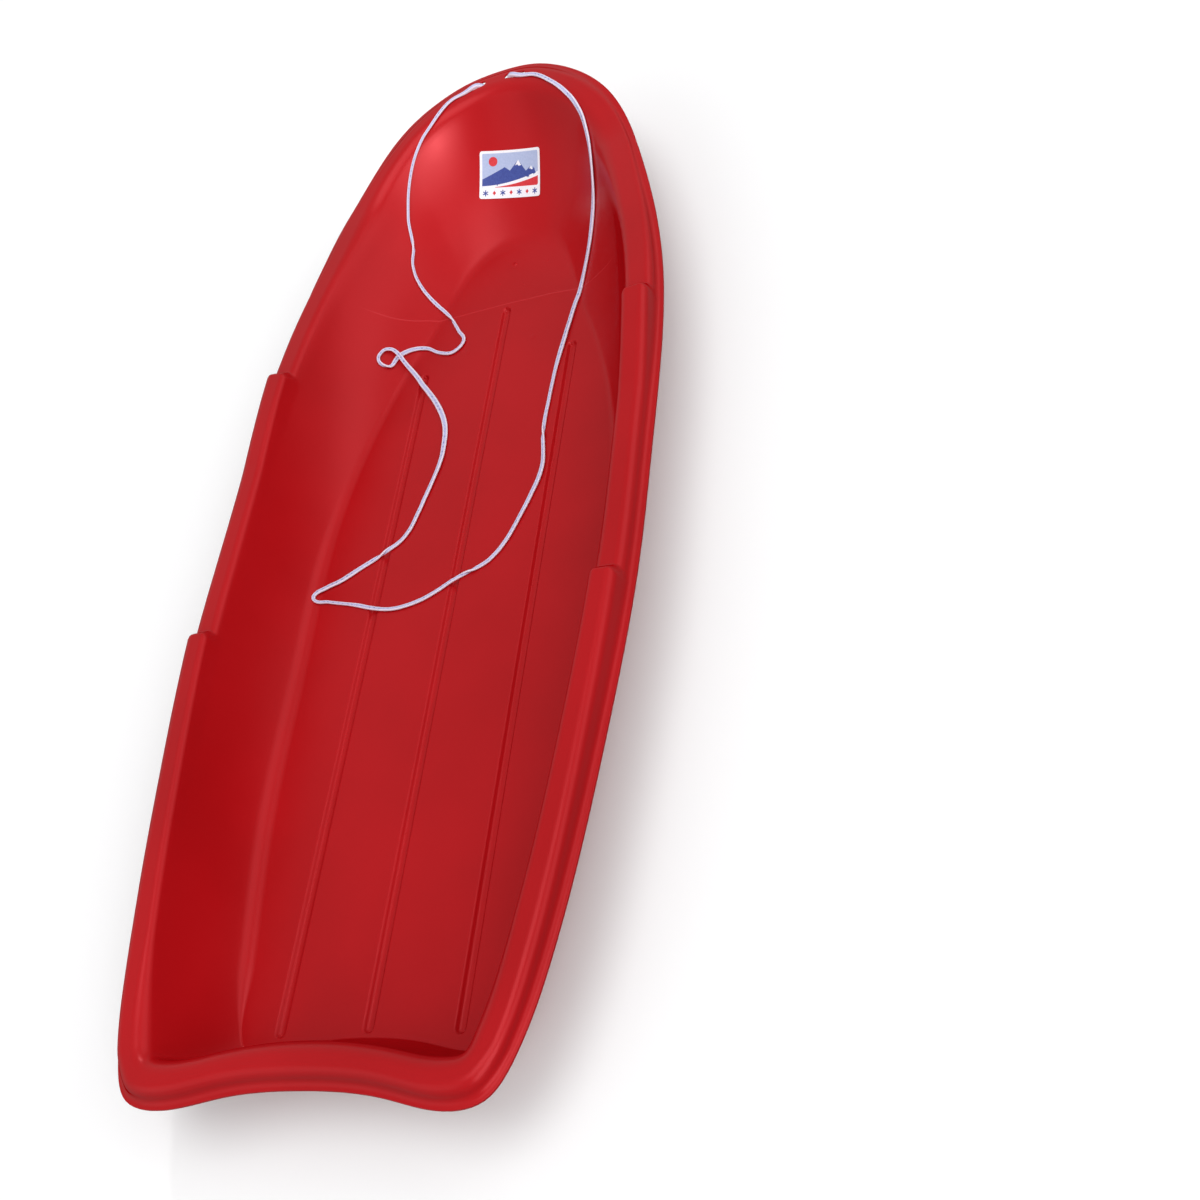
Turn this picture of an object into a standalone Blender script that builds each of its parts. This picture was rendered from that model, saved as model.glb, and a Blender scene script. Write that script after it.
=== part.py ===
"""Moulded plastic toboggan with a pull rope.

The sled is one thin shell: a flat floor with three grooves that stand out below as
runners, side walls, and a raised rim that ends in a small outward lip. The rope
comes up through two slots in the nose and is held under each by a stop knot.
+X points to the nose, +Y to the left and +Z up. The runners stand on z = 0.
"""
import math

import bmesh
import bpy
import numpy as np
from mathutils import Quaternion, Vector
from mathutils.bvhtree import BVHTree

# Driving dimensions, in metres
LENGTH = 1.219
WIDTH = 0.515
WALL = 0.003
LAND_HEIGHT = 0.0923
NOSE_LIFT = 0.0179
STEP_RISE = 0.0116
STEP_RUN = 0.010
LIP_WIDTH = 0.006
LIP_DROP = 0.014
NOSE_LIP_DROP = 0.005
LAND_INSET = 0.013
OUTER_ROUNDING = 0.0032
INNER_ROUNDING = 0.004
WALL_START = 0.006
GROOVE_SPACING = 0.0967
GROOVE_WIDTH = 0.0105
GROOVE_DEPTH = 0.004
GROOVE_SLOPE = 0.0018
RUNNER_WALL = 0.0022
ROPE_DIAMETER = 0.0055
SLOT_CLEARANCE = 0.0015
SLOT_LENGTH = 0.029
SLOT_INSET = 0.0205
SLOT_SPACING = 0.055
TAIL_LENGTH = 0.012
LABEL_WIDTH = 0.081
LABEL_HEIGHT = 0.056
LABEL_CORNER = 0.003
LABEL_THICKNESS = 0.0004
LABEL_GAP = 0.0006
LABEL_REACH = 0.05
LABEL_TURN = math.radians(-11)
GAP = 0.0003

# Stations along the length, as shares of it, counted from the stern
NOSE_RISE_START_SHARE = 0.871
NOSE_RISE_END_SHARE = 0.982
LIP_EASE_START_SHARE = 0.68
LIP_EASE_END_SHARE = 0.85
FRONT_STEP_SHARE = 0.6733
REAR_STEP_SHARE = 0.3923
STEP_FADE_END_SHARE = 0.03
GROOVE_REAR_SHARE = 0.0704
SIDE_GROOVE_FRONT_SHARE = 0.7047
CENTRE_GROOVE_FRONT_SHARE = 0.7665
LABEL_PLACE_SHARE = 0.9105

# Half outlines from the middle of the nose to the middle of the stern, as shares of
# the length and of half the width: the lip's edge, the ridge where the rim's land
# turns down inside, and the crease around the floor. Their rows belong together.
LIP_OUTLINE_SHARES = (
    (1.0000, 0.000), (0.9952, 0.184), (0.9766, 0.359), (0.9314, 0.593), (0.8633, 0.747),
    (0.7602, 0.892), (0.6413, 0.973), (0.5144, 0.993), (0.4034, 0.999), (0.2567, 0.956),
    (0.0982, 0.864), (0.0347, 0.785), (0.0066, 0.698), (0.0000, 0.586), (0.0078, 0.338),
    (0.0134, 0.000),
)
RIDGE_OUTLINE_SHARES = (
    (0.9703, 0.000), (0.9652, 0.142), (0.9522, 0.276), (0.9140, 0.477), (0.8530, 0.613),
    (0.7543, 0.754), (0.6388, 0.832), (0.5140, 0.853), (0.4040, 0.858), (0.2596, 0.816),
    (0.1033, 0.724), (0.0454, 0.653), (0.0345, 0.624), (0.0314, 0.573), (0.0370, 0.345),
    (0.0437, 0.000),
)
CREASE_OUTLINE_SHARES = (
    (0.8529, 0.000), (0.8510, 0.090), (0.8446, 0.165), (0.8196, 0.261), (0.7602, 0.372),
    (0.6888, 0.514), (0.6095, 0.627), (0.5144, 0.693), (0.3875, 0.682), (0.2567, 0.667),
    (0.1100, 0.580), (0.0736, 0.545), (0.0609, 0.507), (0.0581, 0.451), (0.0641, 0.263),
    (0.0688, 0.000),
)
# Where the inner wall's curve bends, as shares of its run and of its rise
WALL_BEND_RUN_SHARE = 0.62
WALL_BEND_RISE_SHARE = 0.40
WALL_LEAN = 0.35

# How finely the curved shapes are divided
HALVINGS = 40
ROUND_PIECES = 12
PIECES_PER_SPAN = 5
WALL_PIECES = 4
KNOT_SIDES = 18
KNOT_ARC_POINTS = 4
LABEL_CELLS = 8

# The rope's route from the left knot to the right one: x, y and the height above
# where it would lie on the tray. It dips through the slots and once crosses itself.
ROPE_ROUTE = (
    (0.5897, 0.0157, -0.0095), (0.5888, 0.0179, -0.0053), (0.58715, 0.0226, -0.0008),
    (0.5815, 0.0345, 0.0), (0.5740, 0.0550, 0.0), (0.5480, 0.0770, 0.0004),
    (0.5000, 0.1070, 0.0), (0.4450, 0.1215, 0.0), (0.3950, 0.1180, 0.0),
    (0.3520, 0.0985, 0.0), (0.3120, 0.0630, 0.0), (0.2840, 0.0515, 0.0),
    (0.2730, 0.0630, 0.0), (0.2885, 0.1050, 0.0), (0.2710, 0.1270, 0.0),
    (0.2590, 0.1365, 0.0), (0.2608, 0.1478, 0.0), (0.2720, 0.1525, 0.0),
    (0.2825, 0.1475, 0.0012), (0.2838, 0.1365, 0.0038), (0.2710, 0.1270, 0.0078),
    (0.2500, 0.1080, 0.0024), (0.2180, 0.0820, 0.0), (0.1630, 0.0505, 0.0),
    (0.1100, 0.0480, 0.0), (0.0100, 0.0840, 0.0), (-0.0140, 0.1300, 0.0),
    (-0.0250, 0.1555, 0.0), (-0.0290, 0.1655, 0.0), (-0.0380, 0.1695, 0.0),
    (-0.0470, 0.1655, 0.0), (-0.0512, 0.1555, 0.0), (-0.0600, 0.1150, 0.0),
    (-0.0710, 0.0700, 0.0), (-0.0600, 0.0210, 0.0), (-0.0340, -0.0320, 0.0),
    (0.0150, -0.0670, 0.0), (0.0750, -0.0870, 0.0), (0.1200, -0.0805, 0.0),
    (0.1900, -0.0790, 0.0), (0.2900, -0.0910, 0.0), (0.3520, -0.1110, 0.0),
    (0.4150, -0.1285, 0.0), (0.4700, -0.1285, 0.0), (0.5200, -0.1120, 0.0),
    (0.5560, -0.0800, 0.0004), (0.5760, -0.0540, 0.0), (0.5815, -0.0345, 0.0),
    (0.58715, -0.0226, -0.0008), (0.5888, -0.0179, -0.0053), (0.5897, -0.0157, -0.0095),
)
ROPE_CLEARANCE = 0.00065
ROPE_FINE_STEPS = 16
ROPE_RUN = 0.045
ROPE_BOW = 0.0008

FLOOR_TOP = WALL + GROOVE_DEPTH
HALF_WIDTH = WIDTH / 2
SLOT_WIDTH = ROPE_DIAMETER + SLOT_CLEARANCE

# The knot follows the rope: three wraps squeezed together around the rope's own end
WRAP_SPACING = 0.77 * ROPE_DIAMETER
WRAP_RADIUS = 1.05 * ROPE_DIAMETER
WRAP_TAPER = 0.15 * ROPE_DIAMETER
KNOT_HEIGHT = 2 * WRAP_SPACING + ROPE_DIAMETER


def clear_scene():
    for item in list(bpy.data.objects):
        bpy.data.objects.remove(item, do_unlink=True)


def new_collection(name):
    collection = bpy.data.collections.new(name)
    bpy.context.scene.collection.children.link(collection)
    return collection


def new_material(name, colour, roughness):
    material = bpy.data.materials.new(name)
    material.use_nodes = True
    shader = material.node_tree.nodes["Principled BSDF"]
    shader.inputs["Base Color"].default_value = (*colour, 1.0)
    shader.inputs["Roughness"].default_value = roughness
    shader.inputs["Metallic"].default_value = 0.0
    return material


def add_object(name, mesh, collection, material=None):
    item = bpy.data.objects.new(name, mesh)
    collection.objects.link(item)
    if material:
        mesh.materials.append(material)
    return item


def mesh_from(name, bm):
    mesh = bpy.data.meshes.new(name)
    bmesh.ops.recalc_face_normals(bm, faces=bm.faces)
    bm.to_mesh(mesh)
    bm.free()
    return mesh


def closed_curve(rows):
    """A smooth closed curve through a half outline and its mirror image.

    Returns a function of a span's number and the share of the way along it.
    """
    half = [((share - 0.5) * LENGTH, across * HALF_WIDTH) for share, across in rows]
    points = np.array(half + [(x, -y) for x, y in half[-2:0:-1]])
    count = len(points)
    chord = np.linalg.norm(np.roll(points, -1, axis=0) - points, axis=1)
    system = np.zeros((count, count))
    load = np.zeros((count, 2))
    for i in range(count):
        after = (i + 1) % count
        system[i, i - 1] += chord[i - 1]
        system[i, i] += 2 * (chord[i - 1] + chord[i])
        system[i, after] += chord[i]
        slope_after = (points[after] - points[i]) / chord[i]
        slope_before = (points[i] - points[i - 1]) / chord[i - 1]
        load[i] = 6 * (slope_after - slope_before)
    bend = np.linalg.solve(system, load)

    def at(span, share):
        after = (span + 1) % count
        left = 1 - share
        straight = left * points[span] + share * points[after]
        bow = (left ** 3 - left) * bend[span] + (share ** 3 - share) * bend[after]
        return straight + chord[span] ** 2 / 6 * bow

    return at


lip_curve = closed_curve(LIP_OUTLINE_SHARES)
ridge_curve = closed_curve(RIDGE_OUTLINE_SHARES)
crease_curve = closed_curve(CREASE_OUTLINE_SHARES)
SPANS = len(LIP_OUTLINE_SHARES) - 1


def smooth_step(value, start, end):
    share = min(max((value - start) / (end - start), 0.0), 1.0)
    return share * share * (3 - 2 * share)


def ramp(value, start, end):
    return min(max((value - start) / (end - start), 0.0), 1.0)


def base_height(station):
    """Height of the rim's land above the floor, without the steps."""
    return LAND_HEIGHT + NOSE_LIFT * smooth_step(station, NOSE_RISE_START_SHARE, NOSE_RISE_END_SHARE)


def step_height(station):
    """What the steps add: each section starts one step up and falls back to the base."""
    reach = STEP_RUN / 2 / LENGTH
    if station > FRONT_STEP_SHARE + reach:
        return 0.0
    if station > FRONT_STEP_SHARE - reach:
        return STEP_RISE * ramp(station, FRONT_STEP_SHARE + reach, FRONT_STEP_SHARE - reach)
    if station > REAR_STEP_SHARE + reach:
        return STEP_RISE * ramp(station, REAR_STEP_SHARE, FRONT_STEP_SHARE)
    if station > REAR_STEP_SHARE - reach:
        return STEP_RISE * ramp(station, REAR_STEP_SHARE + reach, REAR_STEP_SHARE - reach)
    return STEP_RISE * ramp(station, STEP_FADE_END_SHARE, REAR_STEP_SHARE)


def lip_drop(station):
    ease = smooth_step(station, LIP_EASE_START_SHARE, LIP_EASE_END_SHARE)
    return LIP_DROP + (NOSE_LIP_DROP - LIP_DROP) * ease


def rounded(before, corner, after, radius):
    """Three points that round a corner of the rim's section."""
    before, corner, after = (np.array(point, float) for point in (before, corner, after))
    start = corner + (before - corner) / np.linalg.norm(before - corner) * radius
    end = corner + (after - corner) / np.linalg.norm(after - corner) * radius
    return [start, (start + 2 * corner + end) / 4, end]


def section(span, share):
    """Points across the shell's upper side, from the lip's edge to the floor's crease."""
    edge = lip_curve(span, share)
    crease = crease_curve(span, share)
    into = ridge_curve(span, share) - edge
    width = np.linalg.norm(into)
    into = into / width
    station = edge[0] / LENGTH + 0.5
    base = base_height(station)
    land = base + step_height(station)
    lip = base - lip_drop(station)
    outer = (LAND_INSET, land)
    inner = (width - WALL_LEAN * (land - base), land)
    wall_top = (width + WALL_LEAN * WALL_START, base - WALL_START)
    rim = [np.array((0.0, lip)), np.array((LIP_WIDTH, lip))]
    rim += rounded(rim[-1], outer, inner, OUTER_ROUNDING)
    rim += rounded(outer, inner, wall_top, INNER_ROUNDING)
    rim.append(np.array(wall_top))
    points = [(*(edge + into * inset), FLOOR_TOP + height) for inset, height in rim]
    top = edge + into * wall_top[0]
    for i in range(1, WALL_PIECES + 1):
        share_up = 1 - i / WALL_PIECES
        bend = 2 * share_up * (1 - share_up)
        run = bend * WALL_BEND_RUN_SHARE + share_up ** 2
        rise = bend * WALL_BEND_RISE_SHARE + share_up ** 2
        points.append((*(crease + (top - crease) * run), FLOOR_TOP + wall_top[1] * rise))
    return points


def stations():
    """Span and share of every section, with extra ones where the rim steps."""
    chosen = [(span, i / PIECES_PER_SPAN) for span in range(SPANS) for i in range(PIECES_PER_SPAN)]
    chosen.append((SPANS - 1, 1.0))
    reach = STEP_RUN / 2
    for step in (FRONT_STEP_SHARE, REAR_STEP_SHARE):
        for offset in (reach, -reach):
            target = (step - 0.5) * LENGTH + offset
            chosen = [place for place in chosen if abs(lip_curve(*place)[0] - target) > 0.75 * reach]
            chosen.append(place_at(target))
    return sorted(chosen)


def place_at(target):
    """Where the lip's edge passes a distance along the sled, found by halving."""
    span = next(i for i in range(SPANS) if lip_curve(i, 1.0)[0] < target)
    low, high = 0.0, 1.0
    for _ in range(HALVINGS):
        middle = (low + high) / 2
        if lip_curve(span, middle)[0] > target:
            low = middle
        else:
            high = middle
    return span, low


def add_modifier(item, name, kind, **settings):
    modifier = item.modifiers.new(name, kind)
    for key, value in settings.items():
        setattr(modifier, key, value)
    return modifier


def cut(item, cutter):
    add_modifier(item, cutter.name, "BOOLEAN", operation="DIFFERENCE", solver="EXACT", object=cutter)


def join(item, addition):
    add_modifier(item, addition.name, "BOOLEAN", operation="UNION", solver="EXACT", object=addition)


def tray_mesh():
    """Upper side of the left half, open at the middle and around the lip."""
    bm = bmesh.new()
    rows = []
    places = stations()
    for number, place in enumerate(places):
        points = section(*place)
        if number in (0, len(places) - 1):
            points = [(x, 0.0, z) for x, _, z in points]
        rows.append([bm.verts.new(point) for point in points])
    for first, second in zip(rows, rows[1:]):
        for i in range(len(first) - 1):
            bm.faces.new((first[i], first[i + 1], second[i + 1], second[i]))
    bm.faces.new([row[-1] for row in rows])
    return mesh_from("tray", bm)


def slot_body(name, length, width, bottom_width, top, bottom):
    """A bar with round ends along X, which narrows towards its lower side."""
    bm = bmesh.new()
    points = []
    for height, across in ((top, width), (bottom, bottom_width)):
        radius = across / 2
        reach = length / 2 - width / 2
        for i in range(ROUND_PIECES + 1):
            angle = math.pi * (i / ROUND_PIECES - 0.5)
            points.append((reach + radius * math.cos(angle), radius * math.sin(angle), height))
            points.append((-reach - radius * math.cos(angle), -radius * math.sin(angle), height))
    for point in points:
        bm.verts.new(point)
    bmesh.ops.convex_hull(bm, input=bm.verts)
    loose = [vert for vert in bm.verts if not vert.link_faces]
    bmesh.ops.delete(bm, geom=loose, context="VERTS")
    return mesh_from(name, bm)


def add_cutter(name, mesh, cutters):
    item = add_object(name, mesh, cutters)
    item.hide_render = True
    item.display_type = "WIRE"
    return item


def groove_places():
    """Middle, side offset and length of each groove."""
    rear = (GROOVE_REAR_SHARE - 0.5) * LENGTH
    for name, across, front in (
        ("left", GROOVE_SPACING, SIDE_GROOVE_FRONT_SHARE),
        ("centre", 0.0, CENTRE_GROOVE_FRONT_SHARE),
        ("right", -GROOVE_SPACING, SIDE_GROOVE_FRONT_SHARE),
    ):
        end = (front - 0.5) * LENGTH
        yield name, (rear + end) / 2, across, end - rear


def slot_place(side):
    """Middle and turn of a rope slot, which follows the rim around the nose."""
    low, high = 0.0, 4.0
    for _ in range(HALVINGS):
        middle = (low + high) / 2
        span, share = int(middle), middle - int(middle)
        edge = lip_curve(span, share)
        into = ridge_curve(span, share) - edge
        into = into / np.linalg.norm(into)
        centre = edge + into * SLOT_INSET
        if centre[1] < SLOT_SPACING / 2:
            low = middle
        else:
            high = middle
    turn = math.atan2(-into[0], into[1])
    return Vector((centre[0], side * centre[1], land_top(span, share))), side * turn


def land_top(span, share):
    station = lip_curve(span, share)[0] / LENGTH + 0.5
    return FLOOR_TOP + base_height(station) + step_height(station)


def make_shell(parts, cutters, material):
    shell = add_object("sled_shell", tray_mesh(), parts, material)
    add_modifier(shell, "halves", "MIRROR", use_axis=(False, True, False), merge_threshold=0.00005)
    add_modifier(shell, "wall", "SOLIDIFY", thickness=WALL, offset=-1.0, use_even_offset=True)
    for name, middle, across, length in groove_places():
        root = GROOVE_WIDTH + 2 * RUNNER_WALL
        foot = root - 2 * GROOVE_SLOPE
        reach = length + 2 * RUNNER_WALL
        rib = slot_body("runner_" + name, reach, root, foot, -WALL / 2, -FLOOR_TOP)
        bar = add_cutter("runner_" + name, rib, cutters)
        bar.location = (middle, across, FLOOR_TOP)
        join(shell, bar)
    for name, middle, across, length in groove_places():
        narrow = GROOVE_WIDTH - 2 * GROOVE_SLOPE
        channel = slot_body("groove_" + name, length, GROOVE_WIDTH, narrow, 0.0, -GROOVE_DEPTH)
        cutter = add_cutter("groove_" + name, channel, cutters)
        cutter.location = (middle, across, FLOOR_TOP)
        cut(shell, cutter)
    for name, side in (("left", 1), ("right", -1)):
        place, angle = slot_place(side)
        hole = slot_body("slot_" + name, SLOT_LENGTH, SLOT_WIDTH, SLOT_WIDTH, 4 * WALL, -4 * WALL)
        cutter = add_cutter("slot_" + name, hole, cutters)
        cutter.location = place
        cutter.rotation_euler = (0.0, 0.0, angle)
        cut(shell, cutter)
    return shell


def smooth_curve(points, steps):
    """Close points on a natural cubic curve through the given ones."""
    points = np.array(points, float)
    count = len(points)
    chord = np.linalg.norm(np.diff(points, axis=0), axis=1)
    system = np.eye(count)
    load = np.zeros(points.shape)
    for i in range(1, count - 1):
        system[i, i - 1] = chord[i - 1]
        system[i, i] = 2 * (chord[i - 1] + chord[i])
        system[i, i + 1] = chord[i]
        slope_after = (points[i + 1] - points[i]) / chord[i]
        slope_before = (points[i] - points[i - 1]) / chord[i - 1]
        load[i] = 6 * (slope_after - slope_before)
    bend = np.linalg.solve(system, load)
    close = []
    for i in range(count - 1):
        for share in np.arange(steps) / steps:
            left = 1 - share
            straight = left * points[i] + share * points[i + 1]
            bow = (left ** 3 - left) * bend[i] + (share ** 3 - share) * bend[i + 1]
            close.append(straight + chord[i] ** 2 / 6 * bow)
    close.append(points[-1])
    return np.array(close)


def tray_tree():
    """The tray's upper side before its grooves and slots, to lay things on."""
    bm = bmesh.new()
    bm.from_mesh(tray_mesh())
    half = bm.verts[:] + bm.edges[:] + bm.faces[:]
    bmesh.ops.mirror(bm, geom=half, axis="Y", merge_dist=0.00005)
    bmesh.ops.triangulate(bm, faces=bm.faces)
    bm.normal_update()
    bmesh.ops.reverse_faces(bm, faces=[face for face in bm.faces if face.normal.z < 0])
    tree = BVHTree.FromBMesh(bm)
    bm.free()
    return tree


def resting_height(tree, x, y, clearance):
    """Height at which a round thing lies clear of the tray by its own radius."""
    hit, normal, _, _ = tree.ray_cast(Vector((x, y, 1.0)), Vector((0.0, 0.0, -1.0)))
    height = hit.z + clearance / normal.z
    for _ in range(4):
        _, normal, _, distance = tree.find_nearest(Vector((x, y, height)))
        height += (clearance - distance) / max(abs(normal.z), 0.3)
    return height


def rope_points(tree):
    """The rope's middle line, with its points closer together in the bends.

    The route is stretched along the sled, so that its ends stay in the slots.
    """
    clearance = ROPE_DIAMETER / 2 + ROPE_CLEARANCE
    # The route's third row is over the middle of the left slot
    stretch = slot_place(1)[0].x / ROPE_ROUTE[2][0]
    route = [(x * stretch, y, lift) for x, y, lift in ROPE_ROUTE]
    close = [
        Vector((x, y, resting_height(tree, x, y, clearance) + lift))
        for x, y, lift in smooth_curve(route, ROPE_FINE_STEPS)
    ]
    last = len(close) - 1
    chosen = [0, ROPE_FINE_STEPS]
    for i in range(ROPE_FINE_STEPS + 2, last - ROPE_FINE_STEPS):
        start = close[chosen[-1]]
        chord = close[i] - start
        bow = max((point - start).cross(chord).length for point in close[chosen[-1]:i]) / chord.length
        if bow > ROPE_BOW or chord.length > ROPE_RUN:
            chosen.append(i - 1)
    chosen += [last - ROPE_FINE_STEPS, last]
    return [close[i] for i in chosen]


def make_rope(points, parts, material):
    curve = bpy.data.curves.new("pull_rope", "CURVE")
    curve.dimensions = "3D"
    curve.bevel_depth = ROPE_DIAMETER / 2
    curve.bevel_resolution = 2
    curve.use_fill_caps = True
    spline = curve.splines.new("POLY")
    spline.points.add(len(points) - 1)
    for place, point in zip(spline.points, points):
        place.co = (*point, 1.0)
    curve.materials.append(material)
    rope = bpy.data.objects.new("pull_rope", curve)
    parts.objects.link(rope)
    return rope


def knot_profile():
    """Outer line of three wraps that lie on each other, from the top down."""
    radius = ROPE_DIAMETER / 2
    slant = math.atan2(WRAP_SPACING, WRAP_TAPER)
    meeting = math.acos(math.hypot(WRAP_SPACING, WRAP_TAPER) / ROPE_DIAMETER)
    arcs = (
        (WRAP_RADIUS - WRAP_TAPER, WRAP_SPACING, math.pi / 2, meeting - slant),
        (WRAP_RADIUS, 0.0, math.pi - slant - meeting, slant + meeting - math.pi),
        (WRAP_RADIUS - WRAP_TAPER, -WRAP_SPACING, slant - meeting, -math.pi / 2),
    )
    points = [(0.0, KNOT_HEIGHT / 2)]
    for across, height, start, end in arcs:
        for i in range(KNOT_ARC_POINTS + 1):
            angle = start + (end - start) * i / KNOT_ARC_POINTS
            points.append((across + radius * math.cos(angle), height + radius * math.sin(angle)))
    points.append((0.0, -KNOT_HEIGHT / 2))
    return points


def knot_mesh():
    bm = bmesh.new()
    line = [bm.verts.new((across, 0.0, height)) for across, height in knot_profile()]
    for first, second in zip(line, line[1:]):
        bm.edges.new((first, second))
    bmesh.ops.remove_doubles(bm, verts=bm.verts, dist=0.00005)
    mesh = bpy.data.meshes.new("knot")
    bm.to_mesh(mesh)
    bm.free()
    return mesh


def tail_mesh():
    """The rope's cut end, from the knot's middle straight down."""
    reach = TAIL_LENGTH + KNOT_HEIGHT / 2
    radius = ROPE_DIAMETER / 2
    bm = bmesh.new()
    bmesh.ops.create_cone(
        bm, cap_ends=True, segments=ROUND_PIECES, radius1=radius, radius2=radius, depth=reach
    )
    bmesh.ops.translate(bm, verts=bm.verts, vec=(0.0, 0.0, -reach / 2))
    return mesh_from("tail", bm)


def make_knot(name, end, towards, parts, cutters, material):
    """A stop knot under the nose: the rope leaves its top, and a short tail hangs down."""
    axis = (towards - end).normalized()
    centre = end - axis * (KNOT_HEIGHT / 2 + GAP)
    knot = add_object(name, knot_mesh(), parts, material)
    knot.location = centre
    knot.rotation_mode = "QUATERNION"
    knot.rotation_quaternion = axis.to_track_quat("Z", "Y")
    add_modifier(
        knot, "turned", "SCREW", steps=KNOT_SIDES, render_steps=KNOT_SIDES, use_merge_vertices=True,
        merge_threshold=0.00005,
    )
    tail = add_cutter(name + "_tail", tail_mesh(), cutters)
    tail.location = centre
    join(knot, tail)
    return knot


def make_label(tree, parts, material):
    """A thin sticker that follows the nose bowl, with its corners taken off."""
    station = Vector(((LABEL_PLACE_SHARE - 0.5) * LENGTH, 0.0, 1.0))
    centre, normal, _, _ = tree.ray_cast(station, Vector((0.0, 0.0, -1.0)))
    across = Vector((0.0, 1.0, 0.0))
    across = (across - normal * across.dot(normal)).normalized()
    across = Quaternion(normal, LABEL_TURN) @ across
    along = across.cross(normal)
    bm = bmesh.new()
    bmesh.ops.create_grid(bm, x_segments=LABEL_CELLS, y_segments=LABEL_CELLS, size=0.5)
    for vert in bm.verts:
        is_corner = len(vert.link_edges) == 2
        taken_off = 2 * LABEL_CORNER * (1 - math.sqrt(0.5)) if is_corner else 0.0
        first = vert.co.x * (LABEL_WIDTH - taken_off)
        second = vert.co.y * (LABEL_HEIGHT - taken_off)
        above = centre + across * first + along * second + normal * LABEL_REACH
        hit, _, _, _ = tree.ray_cast(above, -normal)
        vert.co = hit + normal * LABEL_GAP
    mesh = bpy.data.meshes.new("nose_label")
    bm.normal_update()
    if sum((face.normal for face in bm.faces), Vector()).dot(normal) < 0:
        bmesh.ops.reverse_faces(bm, faces=bm.faces)
    bm.to_mesh(mesh)
    bm.free()
    label = add_object("nose_label", mesh, parts, material)
    add_modifier(label, "thickness", "SOLIDIFY", thickness=LABEL_THICKNESS, offset=1.0)
    return label


def main():
    clear_scene()
    parts = new_collection("toboggan")
    cutters = new_collection("toboggan_cutters")
    plastic = new_material("red_plastic", (0.42, 0.010, 0.016), 0.38)
    cord = new_material("white_rope", (0.62, 0.60, 0.74), 0.80)
    paper = new_material("label_film", (0.85, 0.85, 0.88), 0.45)
    make_shell(parts, cutters, plastic)
    tree = tray_tree()
    points = rope_points(tree)
    make_rope(points, parts, cord)
    make_knot("knot_left", points[0], points[1], parts, cutters, cord)
    make_knot("knot_right", points[-1], points[-2], parts, cutters, cord)
    make_label(tree, parts, paper)


main()
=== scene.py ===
"""Looks of the moulded plastic toboggan with its pull rope.

+X points to the nose, +Y to the left and +Z up. Lengths are in metres.
"""

import math

import bmesh
import bpy
import numpy as np
from mathutils import Matrix, Quaternion, Vector
from mathutils.bvhtree import BVHTree
from mathutils.geometry import delaunay_2d_cdt


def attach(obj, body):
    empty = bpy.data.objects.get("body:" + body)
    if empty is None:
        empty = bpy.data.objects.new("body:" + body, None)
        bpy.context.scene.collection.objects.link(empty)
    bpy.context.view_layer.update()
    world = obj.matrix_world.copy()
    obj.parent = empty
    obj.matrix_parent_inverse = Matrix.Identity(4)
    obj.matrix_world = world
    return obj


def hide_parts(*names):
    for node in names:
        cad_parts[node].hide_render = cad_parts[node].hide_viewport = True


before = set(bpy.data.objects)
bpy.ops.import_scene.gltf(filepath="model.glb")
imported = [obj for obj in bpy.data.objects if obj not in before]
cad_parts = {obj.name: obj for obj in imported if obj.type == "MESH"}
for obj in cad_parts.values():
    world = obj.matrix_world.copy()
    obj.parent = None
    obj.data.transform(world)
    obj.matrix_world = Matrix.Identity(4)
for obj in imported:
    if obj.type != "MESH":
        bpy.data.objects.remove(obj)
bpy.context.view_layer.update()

# Size and section of the shell
LENGTH = 1.219
HALF_WIDTH = 0.515 / 2
WALL = 0.003
LAND_HEIGHT = 0.0923
NOSE_LIFT = 0.0179
NOSE_LIFT_START = (0.871 - 0.5) * LENGTH
NOSE_LIFT_END = (0.982 - 0.5) * LENGTH
STEP_RISE = 0.0116
STEP_RUN = 0.012
STEP_CORNER = 0.006
STEP_CORNER_START = -0.003
STEP_CORNER_END = 0.005
FRONT_STEP = (0.6733 - 0.5) * LENGTH
REAR_STEP = (0.3923 - 0.5) * LENGTH
STEP_FADE_END = (0.03 - 0.5) * LENGTH
# Place along the sled and what is left there of the front step's rise
FRONT_WEDGE = (
    (REAR_STEP, 0.0), (-0.04, 0.01), (0.02, 0.07), (0.070, 0.14), (0.085, 0.19), (0.17, 0.79),
    (FRONT_STEP, 1.0),
)
LIP_WIDTH = 0.006
LIP_DROP = 0.014
NOSE_LIP_DROP = 0.005
NOSE_LIP_START = (0.68 - 0.5) * LENGTH
NOSE_LIP_END = (0.85 - 0.5) * LENGTH
LIP_ROOT = 0.0048
LIP_ROUNDING = 0.0009
OUTER_ROUNDING = 0.0085
WALL_LEAN = 0.35
WALL_BEND_RUN = 0.62
WALL_BEND_RISE = 0.40
GROOVE_SPACING = 0.0967
GROOVE_DEPTH = 0.004
GROOVE_REACH = 0.00525
FLOOR_TOP = WALL + GROOVE_DEPTH
GROOVE_REAR = (0.0704 - 0.5) * LENGTH
CENTRE_GROOVE_REAR = GROOVE_REAR + 0.0025
SIDE_GROOVE_FRONT = (0.7047 - 0.5) * LENGTH
CENTRE_GROOVE_FRONT = (0.7665 - 0.5) * LENGTH
# Side offset, rear end and front end of each groove
GROOVES = (
    (GROOVE_SPACING, GROOVE_REAR, SIDE_GROOVE_FRONT),
    (0.0, CENTRE_GROOVE_REAR, CENTRE_GROOVE_FRONT),
    (-GROOVE_SPACING, GROOVE_REAR, SIDE_GROOVE_FRONT),
)
# Distances from a groove's middle line at which its surface has points
GROOVE_RINGS = (0.0024, 0.0030, 0.0036, 0.0042, 0.0048, 0.0054, 0.0060, 0.0066, 0.0069)
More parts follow.
